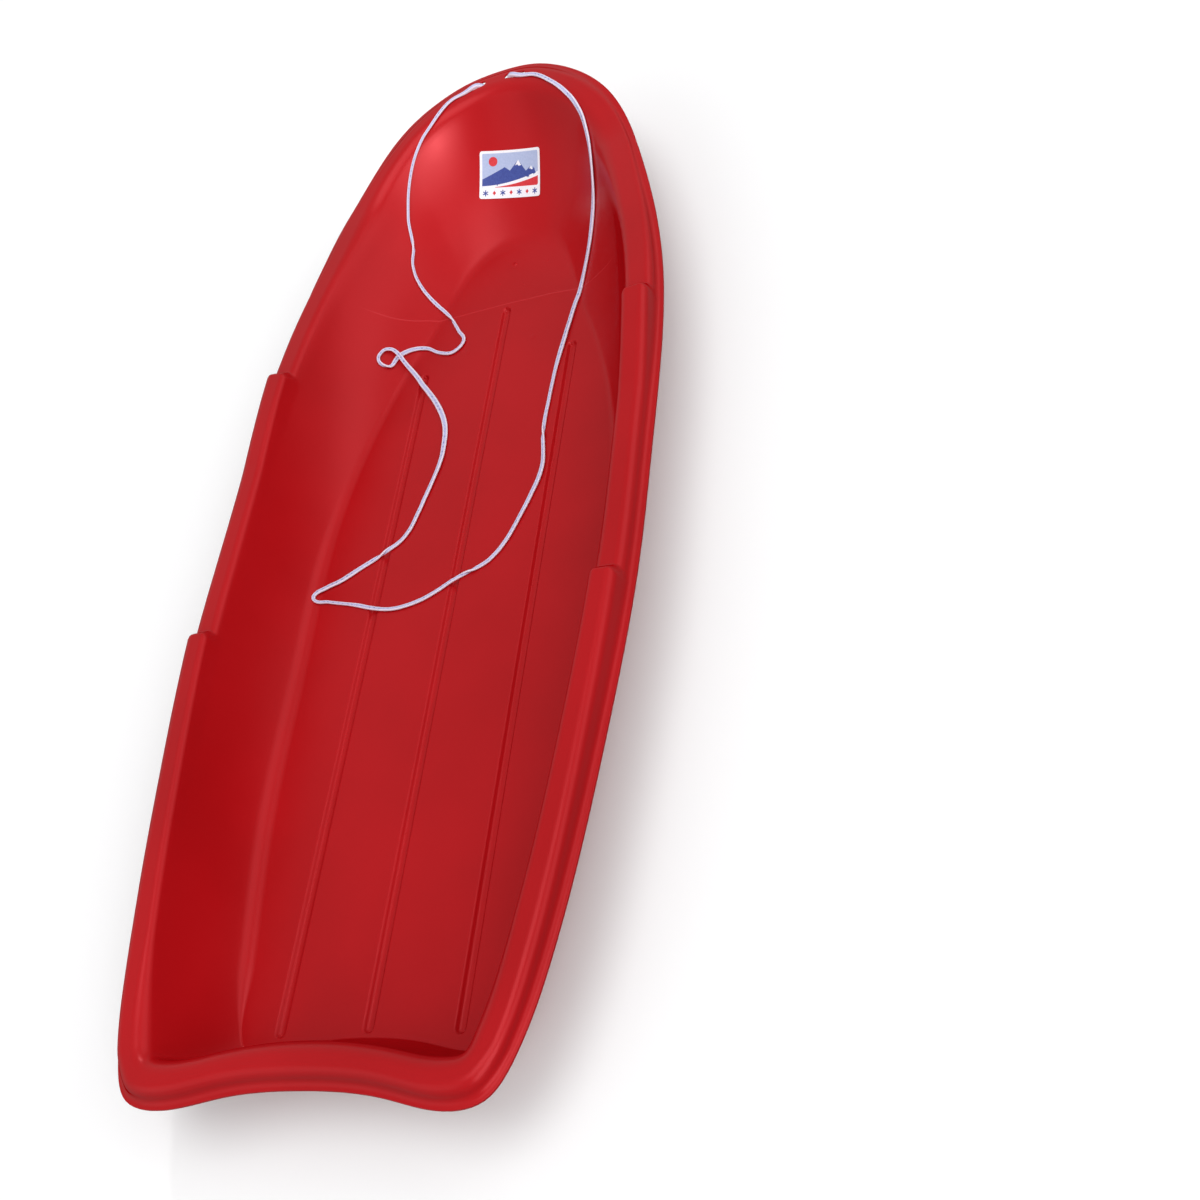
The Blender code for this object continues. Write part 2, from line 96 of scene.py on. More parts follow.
# Small round marks that the mould leaves on the floor: x, y, radius and height
FLOOR_MARKS = (
    (CENTRE_GROOVE_FRONT - 0.0022, 0.0018, 0.0013, 0.0011),
    (CENTRE_GROOVE_FRONT + 0.0008, 0.0005, 0.0013, 0.0009),
    (SIDE_GROOVE_FRONT - 0.0015, GROOVE_SPACING + 0.0012, 0.0015, 0.0011),
    (SIDE_GROOVE_FRONT - 0.0015, -GROOVE_SPACING + 0.0012, 0.0015, 0.0011),
    (0.3930, 0.0, 0.0030, 0.0009), (0.3665, 0.016, 0.0012, 0.0005),
    (0.3560, -0.017, 0.0012, 0.0005), (0.3850, -0.045, 0.0012, 0.0005),
    (0.2700, 0.043, 0.0045, 0.00018), (0.2700, -0.043, 0.0045, 0.00018),
)
# A faint line that the mould leaves across the tray, a low ridge with a painted highlight along it: side
# offset and place along the sled
WITNESS_LINE = (
    (-HALF_WIDTH, 0.285), (-0.1675, 0.308), (-0.135, 0.3168), (-0.1106, 0.3215), (-0.0856, 0.3276),
    (-0.018, 0.3311), (0.013, 0.3313), (0.0654, 0.3305), (0.098, 0.3292), (0.122, 0.3248),
    (0.1383, 0.3235), (0.155, 0.3241), (HALF_WIDTH, 0.327),
)
SLOT_LENGTH = 0.029
SLOT_WIDTH = 0.007
SLOT_INSET = 0.0205
SLOT_SPACING = 0.055
SLOT_FLARE = 0.0008
SLOT_OVERRUN = 0.004

# How finely the shell's surface is cut
STATION_GAP = 0.0062
STEP_STATION_GAP = 0.0009
ROOT_POINTS = 6
OUTER_POINTS = 7
INNER_POINTS = 8
FACE_PIECES = 3
LAND_PIECES = 8
WALL_PIECES = 15
FILLET_PIECES = 8
GROOVE_PIECE = 0.012
GROOVE_END_PIECES = 10
MARK_RINGS = (0.25, 0.5, 0.75, 1.0, 1.3)
MARK_SIDES = 12
SLOT_END_PIECES = 16

# Half outlines, as shares of the length and of half the width
LIP_OUTLINE = (
    (1.0000, 0.000), (0.9952, 0.184), (0.9766, 0.359), (0.9314, 0.593), (0.8633, 0.747),
    (0.7602, 0.892), (0.6413, 0.973), (0.5144, 0.993), (0.4034, 0.999), (0.2567, 0.956),
    (0.0982, 0.864), (0.0347, 0.785), (0.0066, 0.698), (0.0000, 0.586), (0.0078, 0.338),
    (0.0134, 0.000),
)
RIDGE_OUTLINE = (
    (0.9703, 0.000), (0.9652, 0.142), (0.9522, 0.276), (0.9140, 0.477), (0.8530, 0.613),
    (0.7543, 0.754), (0.6388, 0.832), (0.5140, 0.853), (0.4040, 0.858), (0.2596, 0.816),
    (0.1033, 0.724), (0.0454, 0.653), (0.0345, 0.624), (0.0314, 0.573), (0.0370, 0.345),
    (0.0437, 0.000),
)
CREASE_OUTLINE = (
    (0.8529, 0.000), (0.8510, 0.090), (0.8446, 0.165), (0.8196, 0.261), (0.7602, 0.372),
    (0.6888, 0.514), (0.6095, 0.627), (0.5144, 0.693), (0.3875, 0.682), (0.2567, 0.667),
    (0.1100, 0.580), (0.0736, 0.545), (0.0609, 0.507), (0.0581, 0.451), (0.0641, 0.263),
    (0.0688, 0.000),
)
SPANS = len(LIP_OUTLINE) - 1
# Place along the sled and how far inside the lip's edge the rim's outer corner is
LAND_INSETS = (
    (-0.62, 0.0125), (-0.592, 0.0120), (-0.565, 0.0080), (-0.50, 0.0095), (-0.30, 0.0105),
    (0.05, 0.0110), (0.15, 0.0100), (0.22, 0.0085), (0.27, 0.0080), (0.33, 0.0090),
    (0.38, 0.0100), (0.44, 0.0070), (0.50, 0.0100), (0.54, 0.0130), (0.62, 0.0120),
)
# Place along the sled and reach of the rounding between the rim and the inner wall
INNER_ROUNDINGS = (
    (-0.62, 0.0115), (-0.54, 0.0110), (-0.46, 0.0060), (0.36, 0.0060), (0.46, 0.0115),
    (0.62, 0.0118),
)
# Place along the sled and how far below the rim the wall's curve begins
WALL_STARTS = (
    (-0.62, 0.013), (-0.54, 0.013), (-0.46, 0.009), (0.33, 0.009), (0.46, 0.014), (0.62, 0.014),
)
# The left stern corner stands out a little: how far, and where along and across the sled
# that begins and is full
FLARE = 0.0065
FLARE_START = (-0.42, 0.08)
FLARE_END = (-0.60, 0.19)
# The left shoulder of the nose differs a little from the right one: place along the sled
# and how far the wall stands out, and where across the sled that begins and is full
SHOULDER = ((0.37, 0.0), (0.45, 0.0030), (0.53, -0.0024), (0.585, 0.0))
SHOULDER_REACH = (0.07, 0.13)
# How far the soft crease reaches up the wall: place along the sled and reach
CREASE_REACH = (
    (-0.62, 0.0012), (-0.515, 0.0012), (-0.46, 0.006), (-0.15, 0.008), (0.05, 0.006),
    (0.25, 0.006), (0.36, 0.008), (0.42, 0.013), (0.62, 0.013),
)

# The rope's route: x, y and the height above where it would lie on the tray
ROPE_ROUTE = (
    (0.5897, 0.0157, -0.0095), (0.5888, 0.0179, -0.0053), (0.58715, 0.0226, -0.0008),
    (0.5815, 0.0345, 0.0), (0.5740, 0.0550, 0.0), (0.5480, 0.0770, 0.0004),
    (0.5000, 0.1070, 0.0), (0.4450, 0.1215, 0.0), (0.3950, 0.1180, 0.0),
    (0.3520, 0.0985, 0.0), (0.3120, 0.0630, 0.0), (0.2840, 0.0515, 0.0),
    (0.2730, 0.0630, 0.0), (0.2885, 0.1050, 0.0), (0.2710, 0.1270, 0.0),
    (0.2590, 0.1365, 0.0), (0.2608, 0.1478, 0.0), (0.2720, 0.1525, 0.0),
    (0.2825, 0.1475, 0.0012), (0.2838, 0.1365, 0.0038), (0.2710, 0.1270, 0.0078),
    (0.2500, 0.1080, 0.0024), (0.2180, 0.0820, 0.0), (0.1630, 0.0505, 0.0),
    (0.1100, 0.0480, 0.0), (0.0100, 0.0840, 0.0), (-0.0140, 0.1300, 0.0),
    (-0.0250, 0.1555, 0.0), (-0.0290, 0.1655, 0.0), (-0.0380, 0.1695, 0.0),
    (-0.0470, 0.1655, 0.0), (-0.0512, 0.1555, 0.0), (-0.0600, 0.1150, 0.0),
    (-0.0710, 0.0700, 0.0), (-0.0600, 0.0210, 0.0), (-0.0340, -0.0320, 0.0),
    (0.0150, -0.0670, 0.0), (0.0750, -0.0870, 0.0), (0.1200, -0.0805, 0.0),
    (0.1900, -0.0790, 0.0), (0.2900, -0.0910, 0.0), (0.3520, -0.1110, 0.0),
    (0.4150, -0.1285, 0.0), (0.4700, -0.1285, 0.0), (0.5200, -0.1120, 0.0),
    (0.5560, -0.0800, 0.0004), (0.5760, -0.0540, 0.0), (0.5815, -0.0345, 0.0),
    (0.58715, -0.0226, -0.0008), (0.5888, -0.0179, -0.0053), (0.5897, -0.0157, -0.0095),
)
ROPE_DIAMETER = 0.0055
ROPE_LENGTH = 1.93
ROPE_CLEARANCE = 0.0004
ROPE_HALF_HEIGHT = 0.0013
# Share by which the flat rope's middle is thinner, and how wide that middle is
ROPE_WAIST = 0.30
ROPE_WAIST_WIDTH = 0.42
# How square the flat rope's edges and faces are
ROPE_EDGE_POWER = 0.85
ROPE_FACE_POWER = 0.8
# The rope is round up to the first distance from its ends, and flat from the second one
ROPE_FLAT_START = 0.010
ROPE_FLAT_END = 0.042
# How finely the rope is cut
ROPE_GAP = 0.0012
ROUTE_STEPS = 24
ROPE_SIDES = 24
# The braid: strands that wind one way, the length of one turn, and the shape of their backs
STRANDS = 8
STRAND_LAY = 0.026
RING_GAP = STRAND_LAY / (6 * STRANDS)
ROUND_RADIUS = ROPE_DIAMETER / 2 - 0.0002
STRAND_RISE = 0.00034
STRAND_SHARPNESS = 1.9
STRAND_CROSSING = 0.55
STRAND_LEVEL = 0.75
STRAND_RANGE = 0.8
# Places along the rope's plan, from its left end, where it turns over by half a turn
ROPE_TURNS = (0.229, 0.342, 0.503, 0.853, 1.144, 1.330)
ROPE_TURN_REACH = 0.014
# How the rope also rocks: angle in radians, radians for each metre and start
ROPE_ROCKING = ((0.16, 31.0, 0.0), (0.12, 73.0, 1.0))
# Small bends that the route leaves out, in millimetres: place along the plan and shift to
# the right
ROPE_SWAYS = (
    (0, 0.0), (16, 0.0), (40, 1.0), (59, -0.6), (80, 1.0), (99, 3.2), (128, 3.0), (163, 2.4),
    (192, 1.0), (208, -1.8), (224, -2.8), (240, 1.8), (256, 3.3), (272, 2.2), (288, -0.5),
    (304, -3.0), (320, -2.7), (336, 0.2), (352, 2.7), (368, -0.5), (400, 1.4), (416, -0.4),
    (432, 1.3), (448, 3.5), (464, 6.5), (480, 4.0), (496, 1.5), (512, 5.0), (528, 3.0),
    (544, -2.5), (560, -1.9), (592, 1.5), (624, 0.3), (704, 1.1), (720, 0.2), (736, 1.0),
    (752, 3.0), (776, 5.0), (800, 4.1), (816, 1.4), (832, 0.2), (848, 1.8), (864, 1.1),
    (912, -1.3), (932, -1.5), (938, 2.0), (944, 15.0), (950, 2.0), (955, -1.5), (965, -1.2),
    (1016, 1.1), (1064, 0.3), (1088, 0.8), (1104, -0.7), (1124, -4.4), (1137, -4.2), (1152, -1.5),
    (1168, 2.5), (1184, 3.1), (1200, 2.3), (1216, 0.4), (1232, -1.5), (1257, -3.4), (1280, -2.3),
    (1296, -0.8), (1344, 0.5), (1376, 2.0), (1424, 1.6), (1464, 2.6), (1488, 1.8), (1504, 0.3),
    (1520, -1.6), (1536, -0.6), (1584, 0.8), (1616, 0.3), (1648, -1.4), (1664, -1.2), (1680, 0.0),
    (1712, 0.6), (1728, -0.6), (1752, -1.4), (1776, -0.7), (1808, -1.5), (1827, -1.0), (1844, 0.0),
    (1891, 0.0),
)
# Half of the rope's width, less where it is drawn tight, in millimetres: place and width
ROPE_WIDTHS = (
    (0, 2.1), (64, 1.9), (89, 1.55), (192, 1.55), (229, 1.7), (256, 1.45), (288, 1.85), (312, 2.1),
    (352, 1.65), (384, 2.0), (432, 1.75), (480, 2.5), (503, 1.9), (528, 1.65), (551, 2.3),
    (584, 2.6), (624, 2.85), (656, 3.0), (688, 2.65), (736, 2.5), (784, 2.1), (832, 2.1),
    (853, 2.0), (880, 2.2), (896, 2.6), (928, 2.6), (948, 1.65), (992, 1.6), (1010, 2.1),
    (1088, 2.0), (1144, 1.8), (1184, 1.95), (1280, 2.4), (1312, 1.95), (1360, 1.75), (1408, 1.8),
    (1456, 2.7), (1472, 2.75), (1504, 2.25), (1545, 2.4), (1616, 2.75), (1683, 2.75), (1728, 2.6),
    (1792, 2.3), (1891, 2.1),
)
WRAP_SPACING = 0.77 * ROPE_DIAMETER
WRAP_RADIUS = 1.0 * ROPE_DIAMETER
WRAP_TAPER = 0.13 * ROPE_DIAMETER
KNOT_HEIGHT = 2 * WRAP_SPACING + ROPE_DIAMETER
KNOT_GAP = 0.0003
TAIL_LENGTH = 0.012
KNOT_WRAPS = 2.3
KNOT_STEPS = 28
KNOT_EASE = 0.10
# Which of the rope's rings from its end shows the way that the knot's axis points
KNOT_RING = 8

LABEL_CENTRE = (0.9105 - 0.5) * LENGTH
LABEL_WIDTH = 0.081
LABEL_HEIGHT = 0.056
LABEL_CORNER = 0.003
LABEL_THICKNESS = 0.0003
LABEL_GAP = 0.0006
LABEL_REACH = 0.05
LABEL_TURN = math.radians(-11)
# The label's print in millimetres from its middle, and the number of each ink
PRINT_EDGE = 37.5
PRINT_LOW = -15.0
PRINT_HIGH = 25.0
MARKS_HEIGHT = -21.5
WHITE_INK, BLUE_INK, RED_INK, PALE_INK = range(4)

CAMERA_PLACE = (-0.89077, -0.85490, 1.16322)
CAMERA_RIGHT = (0.11700, -0.88954, -0.44161)
CAMERA_UP = (0.85313, -0.13761, 0.50322)
CAMERA_BACK = (-0.50841, -0.43563, 0.74280)
CAMERA_LENS = 47.99

# Soft light from far away: where it comes from and its strength
SUNS = (
    ("over", (0.0, 0.0, 1.0), 0.87), ("right", (0.0, -1.0, 0.7), 0.41),
    ("nose_right", (1.0, -1.0, 1.2), 0.33), ("stern_right", (-1.0, -1.0, 1.2), 0.99),
    ("stern_left", (-1.0, 1.0, 1.2), 0.19),
)
SUN_SPREAD = math.radians(40)
# Strength of the pale surroundings below and above the horizon
SKY_GROUND = 0.26
SKY_ABOVE = 0.45
# One soft light close by
NEAR_PLACE = (-1.0, -1.0, 1.6)
NEAR_TARGET = (0.3, 0.05, 0.05)
NEAR_SIZE = 0.9
NEAR_POWER = 1.6
# Narrow lights for the highlights of the nose and of a stern corner: place, target,
# degrees and watts
SPOTS = (
    ("nose_spot", (-0.90, -0.90, 1.48), (0.53, 0.055, 0.09), 11, 54.0),
    ("corner_spot", (0.445, 0.38, 1.13), (-0.575, 0.175, 0.10), 6, 42.0),
)
SPOT_RADIUS = 0.12
FLOOR_REACH = 6.0
FLOOR_SIDES = 64
COVE = 5.0
COVE_PIECES = 12


def make_camera():
    data = bpy.data.cameras.new("camera")
    data.lens = CAMERA_LENS
    data.sensor_width = 36.0
    data.clip_start = 0.05
    data.clip_end = 100.0
    camera = bpy.data.objects.new("camera", data)
    bpy.context.scene.collection.objects.link(camera)
    turn = Matrix((CAMERA_RIGHT, CAMERA_UP, CAMERA_BACK)).transposed()
    camera.matrix_world = Matrix.Translation(CAMERA_PLACE) @ turn.to_4x4()
    bpy.context.scene.camera = camera


def add_object(name, mesh):
    item = bpy.data.objects.new(name, mesh)
    bpy.context.scene.collection.objects.link(item)
    return item


def mesh_of(name, points, faces, smooth=True):
    mesh = bpy.data.meshes.new(name)
    mesh.from_pydata([tuple(point) for point in points], [], faces)
    mesh.update()
    mesh.shade_smooth() if smooth else mesh.shade_flat()
    return mesh


def outward_faces(mesh):
    """Turns the mesh's faces outwards and drops points that no face uses."""
    bm = bmesh.new()
    bm.from_mesh(mesh)
    bmesh.ops.recalc_face_normals(bm, faces=bm.faces)
    loose = [vert for vert in bm.verts if not vert.link_faces]
    bmesh.ops.delete(bm, geom=loose, context="VERTS")
    bm.to_mesh(mesh)
    bm.free()


def strip(first, second):
    """Faces between two rows of points."""
    pairs = list(zip(first, second))
    return [(a, b, d, c) for (a, c), (b, d) in zip(pairs, pairs[1:])]


def looped(ring):
    """The ring with its first item once more at the end."""
    return [*ring, ring[0]]


def grid_faces(rows):
    """Faces that join each row of points to the next, and the last row to the first."""
    around, across = rows.shape[:2]
    grid = np.arange(around * across).reshape(around, across).tolist()
    return [face for row, after in zip(grid, looped(grid)[1:]) for face in strip(row, after)]


def circle(x, y, radius, start, step, count):
    """Points around a middle, with the first one's angle and the step in degrees."""
    angles = [math.radians(start + step * i) for i in range(count)]
    return [(x + radius * math.cos(angle), y + radius * math.sin(angle)) for angle in angles]


def unit(vector):
    return vector / np.linalg.norm(vector, axis=-1, keepdims=True)


def from_table(place, table):
    return np.interp(place, *zip(*table))


def halved(low, high, before):
    """The place between two where a test stops being true, found by halving."""
    for _ in range(40):
        middle = (low + high) / 2
        if before(middle):
            low = middle
        else:
            high = middle
    return low


# Curves


def curve_bends(points, closed):
    """Second derivatives of a cubic curve through points, by the chords between them."""
    count = len(points)
    after = np.roll(points, -1, axis=0) if closed else points[1:]
    chord = np.linalg.norm(after - points[:len(after)], axis=1)
    system = np.eye(count)
    load = np.zeros(points.shape)
    for i in range(0 if closed else 1, count if closed else count - 1):
        following = (i + 1) % count
        system[i, i] = 2 * (chord[i - 1] + chord[i])
        system[i, i - 1] += chord[i - 1]
        system[i, following] += chord[i]
        slope_after = (points[following] - points[i]) / chord[i]
        slope_before = (points[i] - points[i - 1]) / chord[i - 1]
        load[i] = 6 * (slope_after - slope_before)
    return chord, np.linalg.solve(system, load)


def on_curve(points, chord, bend, span, share):
    after = (span + 1) % len(points)
    left = 1 - share
    straight = left * points[span] + share * points[after]
    bow = (left ** 3 - left) * bend[span] + (share ** 3 - share) * bend[after]
    return straight + chord[span] ** 2 / 6 * bow


def closed_curve(rows):
    """A smooth closed curve through a half outline and its mirror image."""
    half = [((share - 0.5) * LENGTH, across * HALF_WIDTH) for share, across in rows]
    points = np.array(half + [(x, -y) for x, y in half[-2:0:-1]])
    chord, bend = curve_bends(points, True)
    return lambda span, share: on_curve(points, chord, bend, span, share)


lip_curve = closed_curve(LIP_OUTLINE)
ridge_curve = closed_curve(RIDGE_OUTLINE)
crease_curve = closed_curve(CREASE_OUTLINE)


def ramp(value, start, end):
    return np.clip((value - start) / (end - start), 0.0, 1.0)


def eased(value, start, end):
    share = ramp(value, start, end)
    return share * share * (3 - 2 * share)


def base_height(x):
    return LAND_HEIGHT + NOSE_LIFT * eased(x, NOSE_LIFT_START, NOSE_LIFT_END)


def step_height(x):
    """What the steps add: each section starts one step up and falls back to the base."""
    front = 1 - eased(x, FRONT_STEP - STEP_RUN / 2, FRONT_STEP + STEP_RUN / 2)
    rear = 1 - eased(x, REAR_STEP - STEP_RUN / 2, REAR_STEP + STEP_RUN / 2)
    middle = STEP_RISE * from_table(x, FRONT_WEDGE)
    stern = STEP_RISE * ramp(x, STEP_FADE_END, REAR_STEP)
    return rear * stern + (1 - rear) * front * middle


def tongue(distance):
    """How much sooner a step falls near the rim's edges, which rounds its corners."""
    return STEP_CORNER * (1 - eased(distance, STEP_CORNER_START, STEP_CORNER_END))


def lip_drop(x):
    return LIP_DROP + (NOSE_LIP_DROP - LIP_DROP) * eased(x, NOSE_LIP_START, NOSE_LIP_END)


def arc(before, corner, after, reach, count):
    """Points on a round arc that replaces a corner of the rim's section."""
    before, corner, after = (np.array(point, float) for point in (before, corner, after))
    first = unit(before - corner)
    last = unit(after - corner)
    half = math.acos(np.clip(first @ last, -1, 1)) / 2
    centre = corner + unit(first + last) * reach / math.cos(half)
    radius = reach * math.tan(half)
    start = corner + first * reach - centre
    end = corner + last * reach - centre
    turn = math.acos(np.clip(start @ end / radius ** 2, -1, 1))
    points = []
    for i in range(count):
        share = i / (count - 1)
        bow = math.sin((1 - share) * turn) * start + math.sin(share * turn) * end
        points.append(centre + bow / math.sin(turn))
    return points


def between(start, end, pieces):
    """Points inside the straight line from one point to another."""
    return [start + (end - start) * i / pieces for i in range(1, pieces)]


def wall_lean(x, run):
    """Run over rise of the wall's top, where the wall goes on as it bends up from the floor."""
    bend = (1 - WALL_BEND_RUN) / (1 - WALL_BEND_RISE)
    drop = from_table(x, WALL_STARTS)
    return max(WALL_LEAN, bend * run / (base_height(x) - drop + bend * drop))


def rim_profile(x, width, rise, lean):
    """Inset and height of points from the lip's edge over the rim to the wall's top."""
    base = base_height(x)
    drop = from_table(x, WALL_STARTS)
    lip = base - lip_drop(x)
    land = base + rise
    root = np.array((LIP_WIDTH, lip))
    outer = np.array((from_table(x, LAND_INSETS), land))
    inner = np.array((width, land))
    wall_top = np.array((width + lean * drop, base - drop))
    face = np.linalg.norm(outer - root)
    hollow = arc((0.0, lip), root, outer, min(LIP_ROOT, 0.45 * face), ROOT_POINTS)
    turned = arc(root, outer, inner, min(OUTER_ROUNDING, 0.5 * face), OUTER_POINTS)
    over = arc(outer, inner, wall_top, from_table(x, INNER_ROUNDINGS), INNER_POINTS)
    up_face = between(hollow[-1], turned[0], FACE_PIECES)
    across_land = between(turned[-1], over[0], LAND_PIECES)
    start = np.array((LIP_ROUNDING, lip))
    return np.array([start, *hollow, *up_face, *turned, *across_land, *over, wall_top])


def section(span, share):
    """Points across the upper side, from the lip's edge over the rim to the floor."""
    edge = lip_curve(span, share)
    ridge = ridge_curve(span, share)
    crease = crease_curve(span, share)
    width = np.linalg.norm(ridge - edge)
    into = (ridge - edge) / width
    x = edge[0]
    lean = wall_lean(x, np.linalg.norm(crease - ridge))
    low = rim_profile(x, width, 0.0, lean)
    high = rim_profile(x, width, STEP_RISE, lean)
    outer = from_table(x, LAND_INSETS)
    points = []
    for below, above in zip(low, high):
        near = min(above[0] - outer, width - above[0])
        inset, height = below + (above - below) * step_height(x + tongue(near)) / STEP_RISE
        points.append((*(edge + into * inset), FLOOR_TOP + height))
    inset, height = low[-1]
    return points + wall_points(edge + into * inset, height, crease)


def wall_points(top, height, crease):
    """Points down the wall, which bends, and through the soft crease to the floor."""
    down = crease - top
    run_length = np.linalg.norm(down)
    reach = from_table(crease[0], CREASE_REACH) / run_length
    run_left = 1 - 2 * WALL_BEND_RUN
    rise_left = 1 - 2 * WALL_BEND_RISE
    foot = (math.sqrt(WALL_BEND_RUN ** 2 + reach * run_left) - WALL_BEND_RUN) / run_left
    points = []
    for i in range(1, WALL_PIECES + 1):
        run, rise = wall_shares(1 - (1 - foot) * i / WALL_PIECES)
        points.append((*(crease - down * run), FLOOR_TOP + height * rise))
    start = np.array((run * run_length, height * rise))
    run_slope = 2 * (WALL_BEND_RUN + foot * run_left) * run_length
    rise_slope = 2 * (WALL_BEND_RISE + foot * rise_left) * height
    corner = start - np.array((run_slope, rise_slope)) * start[1] / rise_slope
    end = np.array((corner[0] - np.linalg.norm(start - corner), 0.0))
    for i in range(1, FILLET_PIECES + 1):
        share = i / FILLET_PIECES
        left = 1 - share
        run, rise = left ** 2 * start + 2 * share * left * corner + share ** 2 * end
        points.append((*(crease - down / run_length * run), FLOOR_TOP + rise))
    return points


def wall_shares(up):
    bend = 2 * up * (1 - up)
    return bend * WALL_BEND_RUN + up ** 2, bend * WALL_BEND_RISE + up ** 2


def stations():
    """Span and share of every section of the left half, close together at the steps."""
    chosen = []
    for span in range(SPANS):
        samples = np.array([lip_curve(span, i / 20) for i in range(21)])
        long = np.linalg.norm(np.diff(samples, axis=0), axis=1).sum()
        count = math.ceil(long / STATION_GAP)
        chosen += [(span, i / count) for i in range(count)]
    chosen.append((SPANS - 1, 1.0))
    for step in (FRONT_STEP, REAR_STEP):
        low = step - STEP_RUN / 2 - STEP_CORNER - 2 * STEP_STATION_GAP
        high = step + STEP_RUN / 2 + 2 * STEP_STATION_GAP
        chosen = [place for place in chosen if not low < lip_curve(*place)[0] < high]
        count = round((high - low) / STEP_STATION_GAP)
        chosen += [place_at(low + (high - low) * (i + 0.5) / count) for i in range(count)]
    return sorted(chosen)


def place_at(target):
    """Span and share where the lip's edge passes a distance along the sled."""
    span = next(i for i in range(SPANS) if lip_curve(i, 1.0)[0] < target)
    return span, halved(0.0, 1.0, lambda share: lip_curve(span, share)[0] > target)


# The shell


def groove_depth(x, y):
    for across, rear, front in GROOVES:
        low = rear + GROOVE_REACH
        high = front - GROOVE_REACH
        away = math.hypot(x - min(max(x, low), high), y - across)
        if away < GROOVE_RINGS[-2]:
            return GROOVE_DEPTH * (1 - eased(away, GROOVE_RINGS[0], GROOVE_RINGS[-2]))
    return 0.0


def mark_height(x, y):
    """How much the small marks add to the floor's height."""
    rise = 0.0
    for mark_x, mark_y, radius, height in FLOOR_MARKS:
        share = math.hypot(x - mark_x, y - mark_y) / radius
        if share < 1:
            rise = max(rise, height * (1 - share ** 2) ** 0.7)
    return rise


def groove_ring(across, rear, front, away):
    """A ring around a groove's middle line, at a distance from it."""
    low = rear + GROOVE_REACH
    high = front - GROOVE_REACH
    pieces = round((high - low) / GROOVE_PIECE)
    ring = [(low + (high - low) * i / pieces, across - away) for i in range(pieces)]
    ring += circle(high, across, away, -90, 180 / GROOVE_END_PIECES, GROOVE_END_PIECES)
    ring += [(high + (low - high) * i / pieces, across + away) for i in range(pieces)]
    ring += circle(low, across, away, 90, 180 / GROOVE_END_PIECES, GROOVE_END_PIECES)
    return ring


def flare(x, y):
    """How far a point of the left half stands out at the stern corner and the nose."""
    along = ramp(x, FLARE_START[0], FLARE_END[0])
    stern = FLARE * along ** 1.5 * eased(y, FLARE_START[1], FLARE_END[1])
    nose = 0.0
    for (start, before), (end, after) in zip(SHOULDER, SHOULDER[1:]):
        if start <= x <= end:
            nose = before + (after - before) * eased(x, start, end)
    return stern + nose * eased(y, *SHOULDER_REACH)


def tray_points():
    """The upper side: rows of points around the sled, each from the lip to the floor."""
    half = [section(*place) for place in stations()]
    left = [[(x, y + flare(x, y), z) for x, y, z in row] for row in half]
    left[0] = [(x, 0.0, z) for x, _, z in left[0]]
    left[-1] = [(x, 0.0, z) for x, _, z in left[-1]]
    right = [[(x, -y, z) for x, y, z in row] for row in half[-2:0:-1]]
    return np.array(left + right)


def upper_side(rows):
    """Points and faces of the whole upper side, with the lip's points first in each row."""
    around, across = rows.shape[:2]
    points = [tuple(point) for point in rows.reshape(-1, 3)]
    faces = grid_faces(rows)
    plan = [Vector(row[-1][:2]) for row in rows]
    edges = [(i, (i + 1) % around) for i in range(around)]
    for groove in GROOVES:
        for away in GROOVE_RINGS:
            ring = groove_ring(*groove, away)
            start = len(plan)
            plan += [Vector(point) for point in ring]
            edges += [(start + i, start + (i + 1) % len(ring)) for i in range(len(ring))]
    for mark_x, mark_y, radius, _ in FLOOR_MARKS:
        plan.append(Vector((mark_x, mark_y)))
        for share in MARK_RINGS:
            ring = circle(mark_x, mark_y, radius * share, 0, 360 / MARK_SIDES, MARK_SIDES)
            plan += [Vector(point) for point in ring]
    made, _, patches, origin, _, _ = delaunay_2d_cdt(plan, edges, [], 1, 1e-6)
    index = []
    for place, sources in zip(made, origin):
        on_border = [source for source in sources if source < around]
        if on_border:
            index.append(on_border[0] * across + across - 1)
        else:
            index.append(len(points))
            height = FLOOR_TOP - groove_depth(place.x, place.y) + mark_height(place.x, place.y)
            points.append((place.x, place.y, height))
    faces += [tuple(index[i] for i in patch) for patch in patches]
    return points, faces


def vertex_normals(points, faces):
    """Upward normals of the points."""
    bm = bmesh.new()
    for point in points:
        bm.verts.new(point)
    bm.verts.ensure_lookup_table()
    for face in faces:
        bm.faces.new([bm.verts[i] for i in face])
    bmesh.ops.recalc_face_normals(bm, faces=bm.faces)
    bm.normal_update()
    normals = np.array([vert.normal for vert in bm.verts])
    if normals[:, 2].sum() < 0:
        normals = -normals
    bm.free()
    return normals


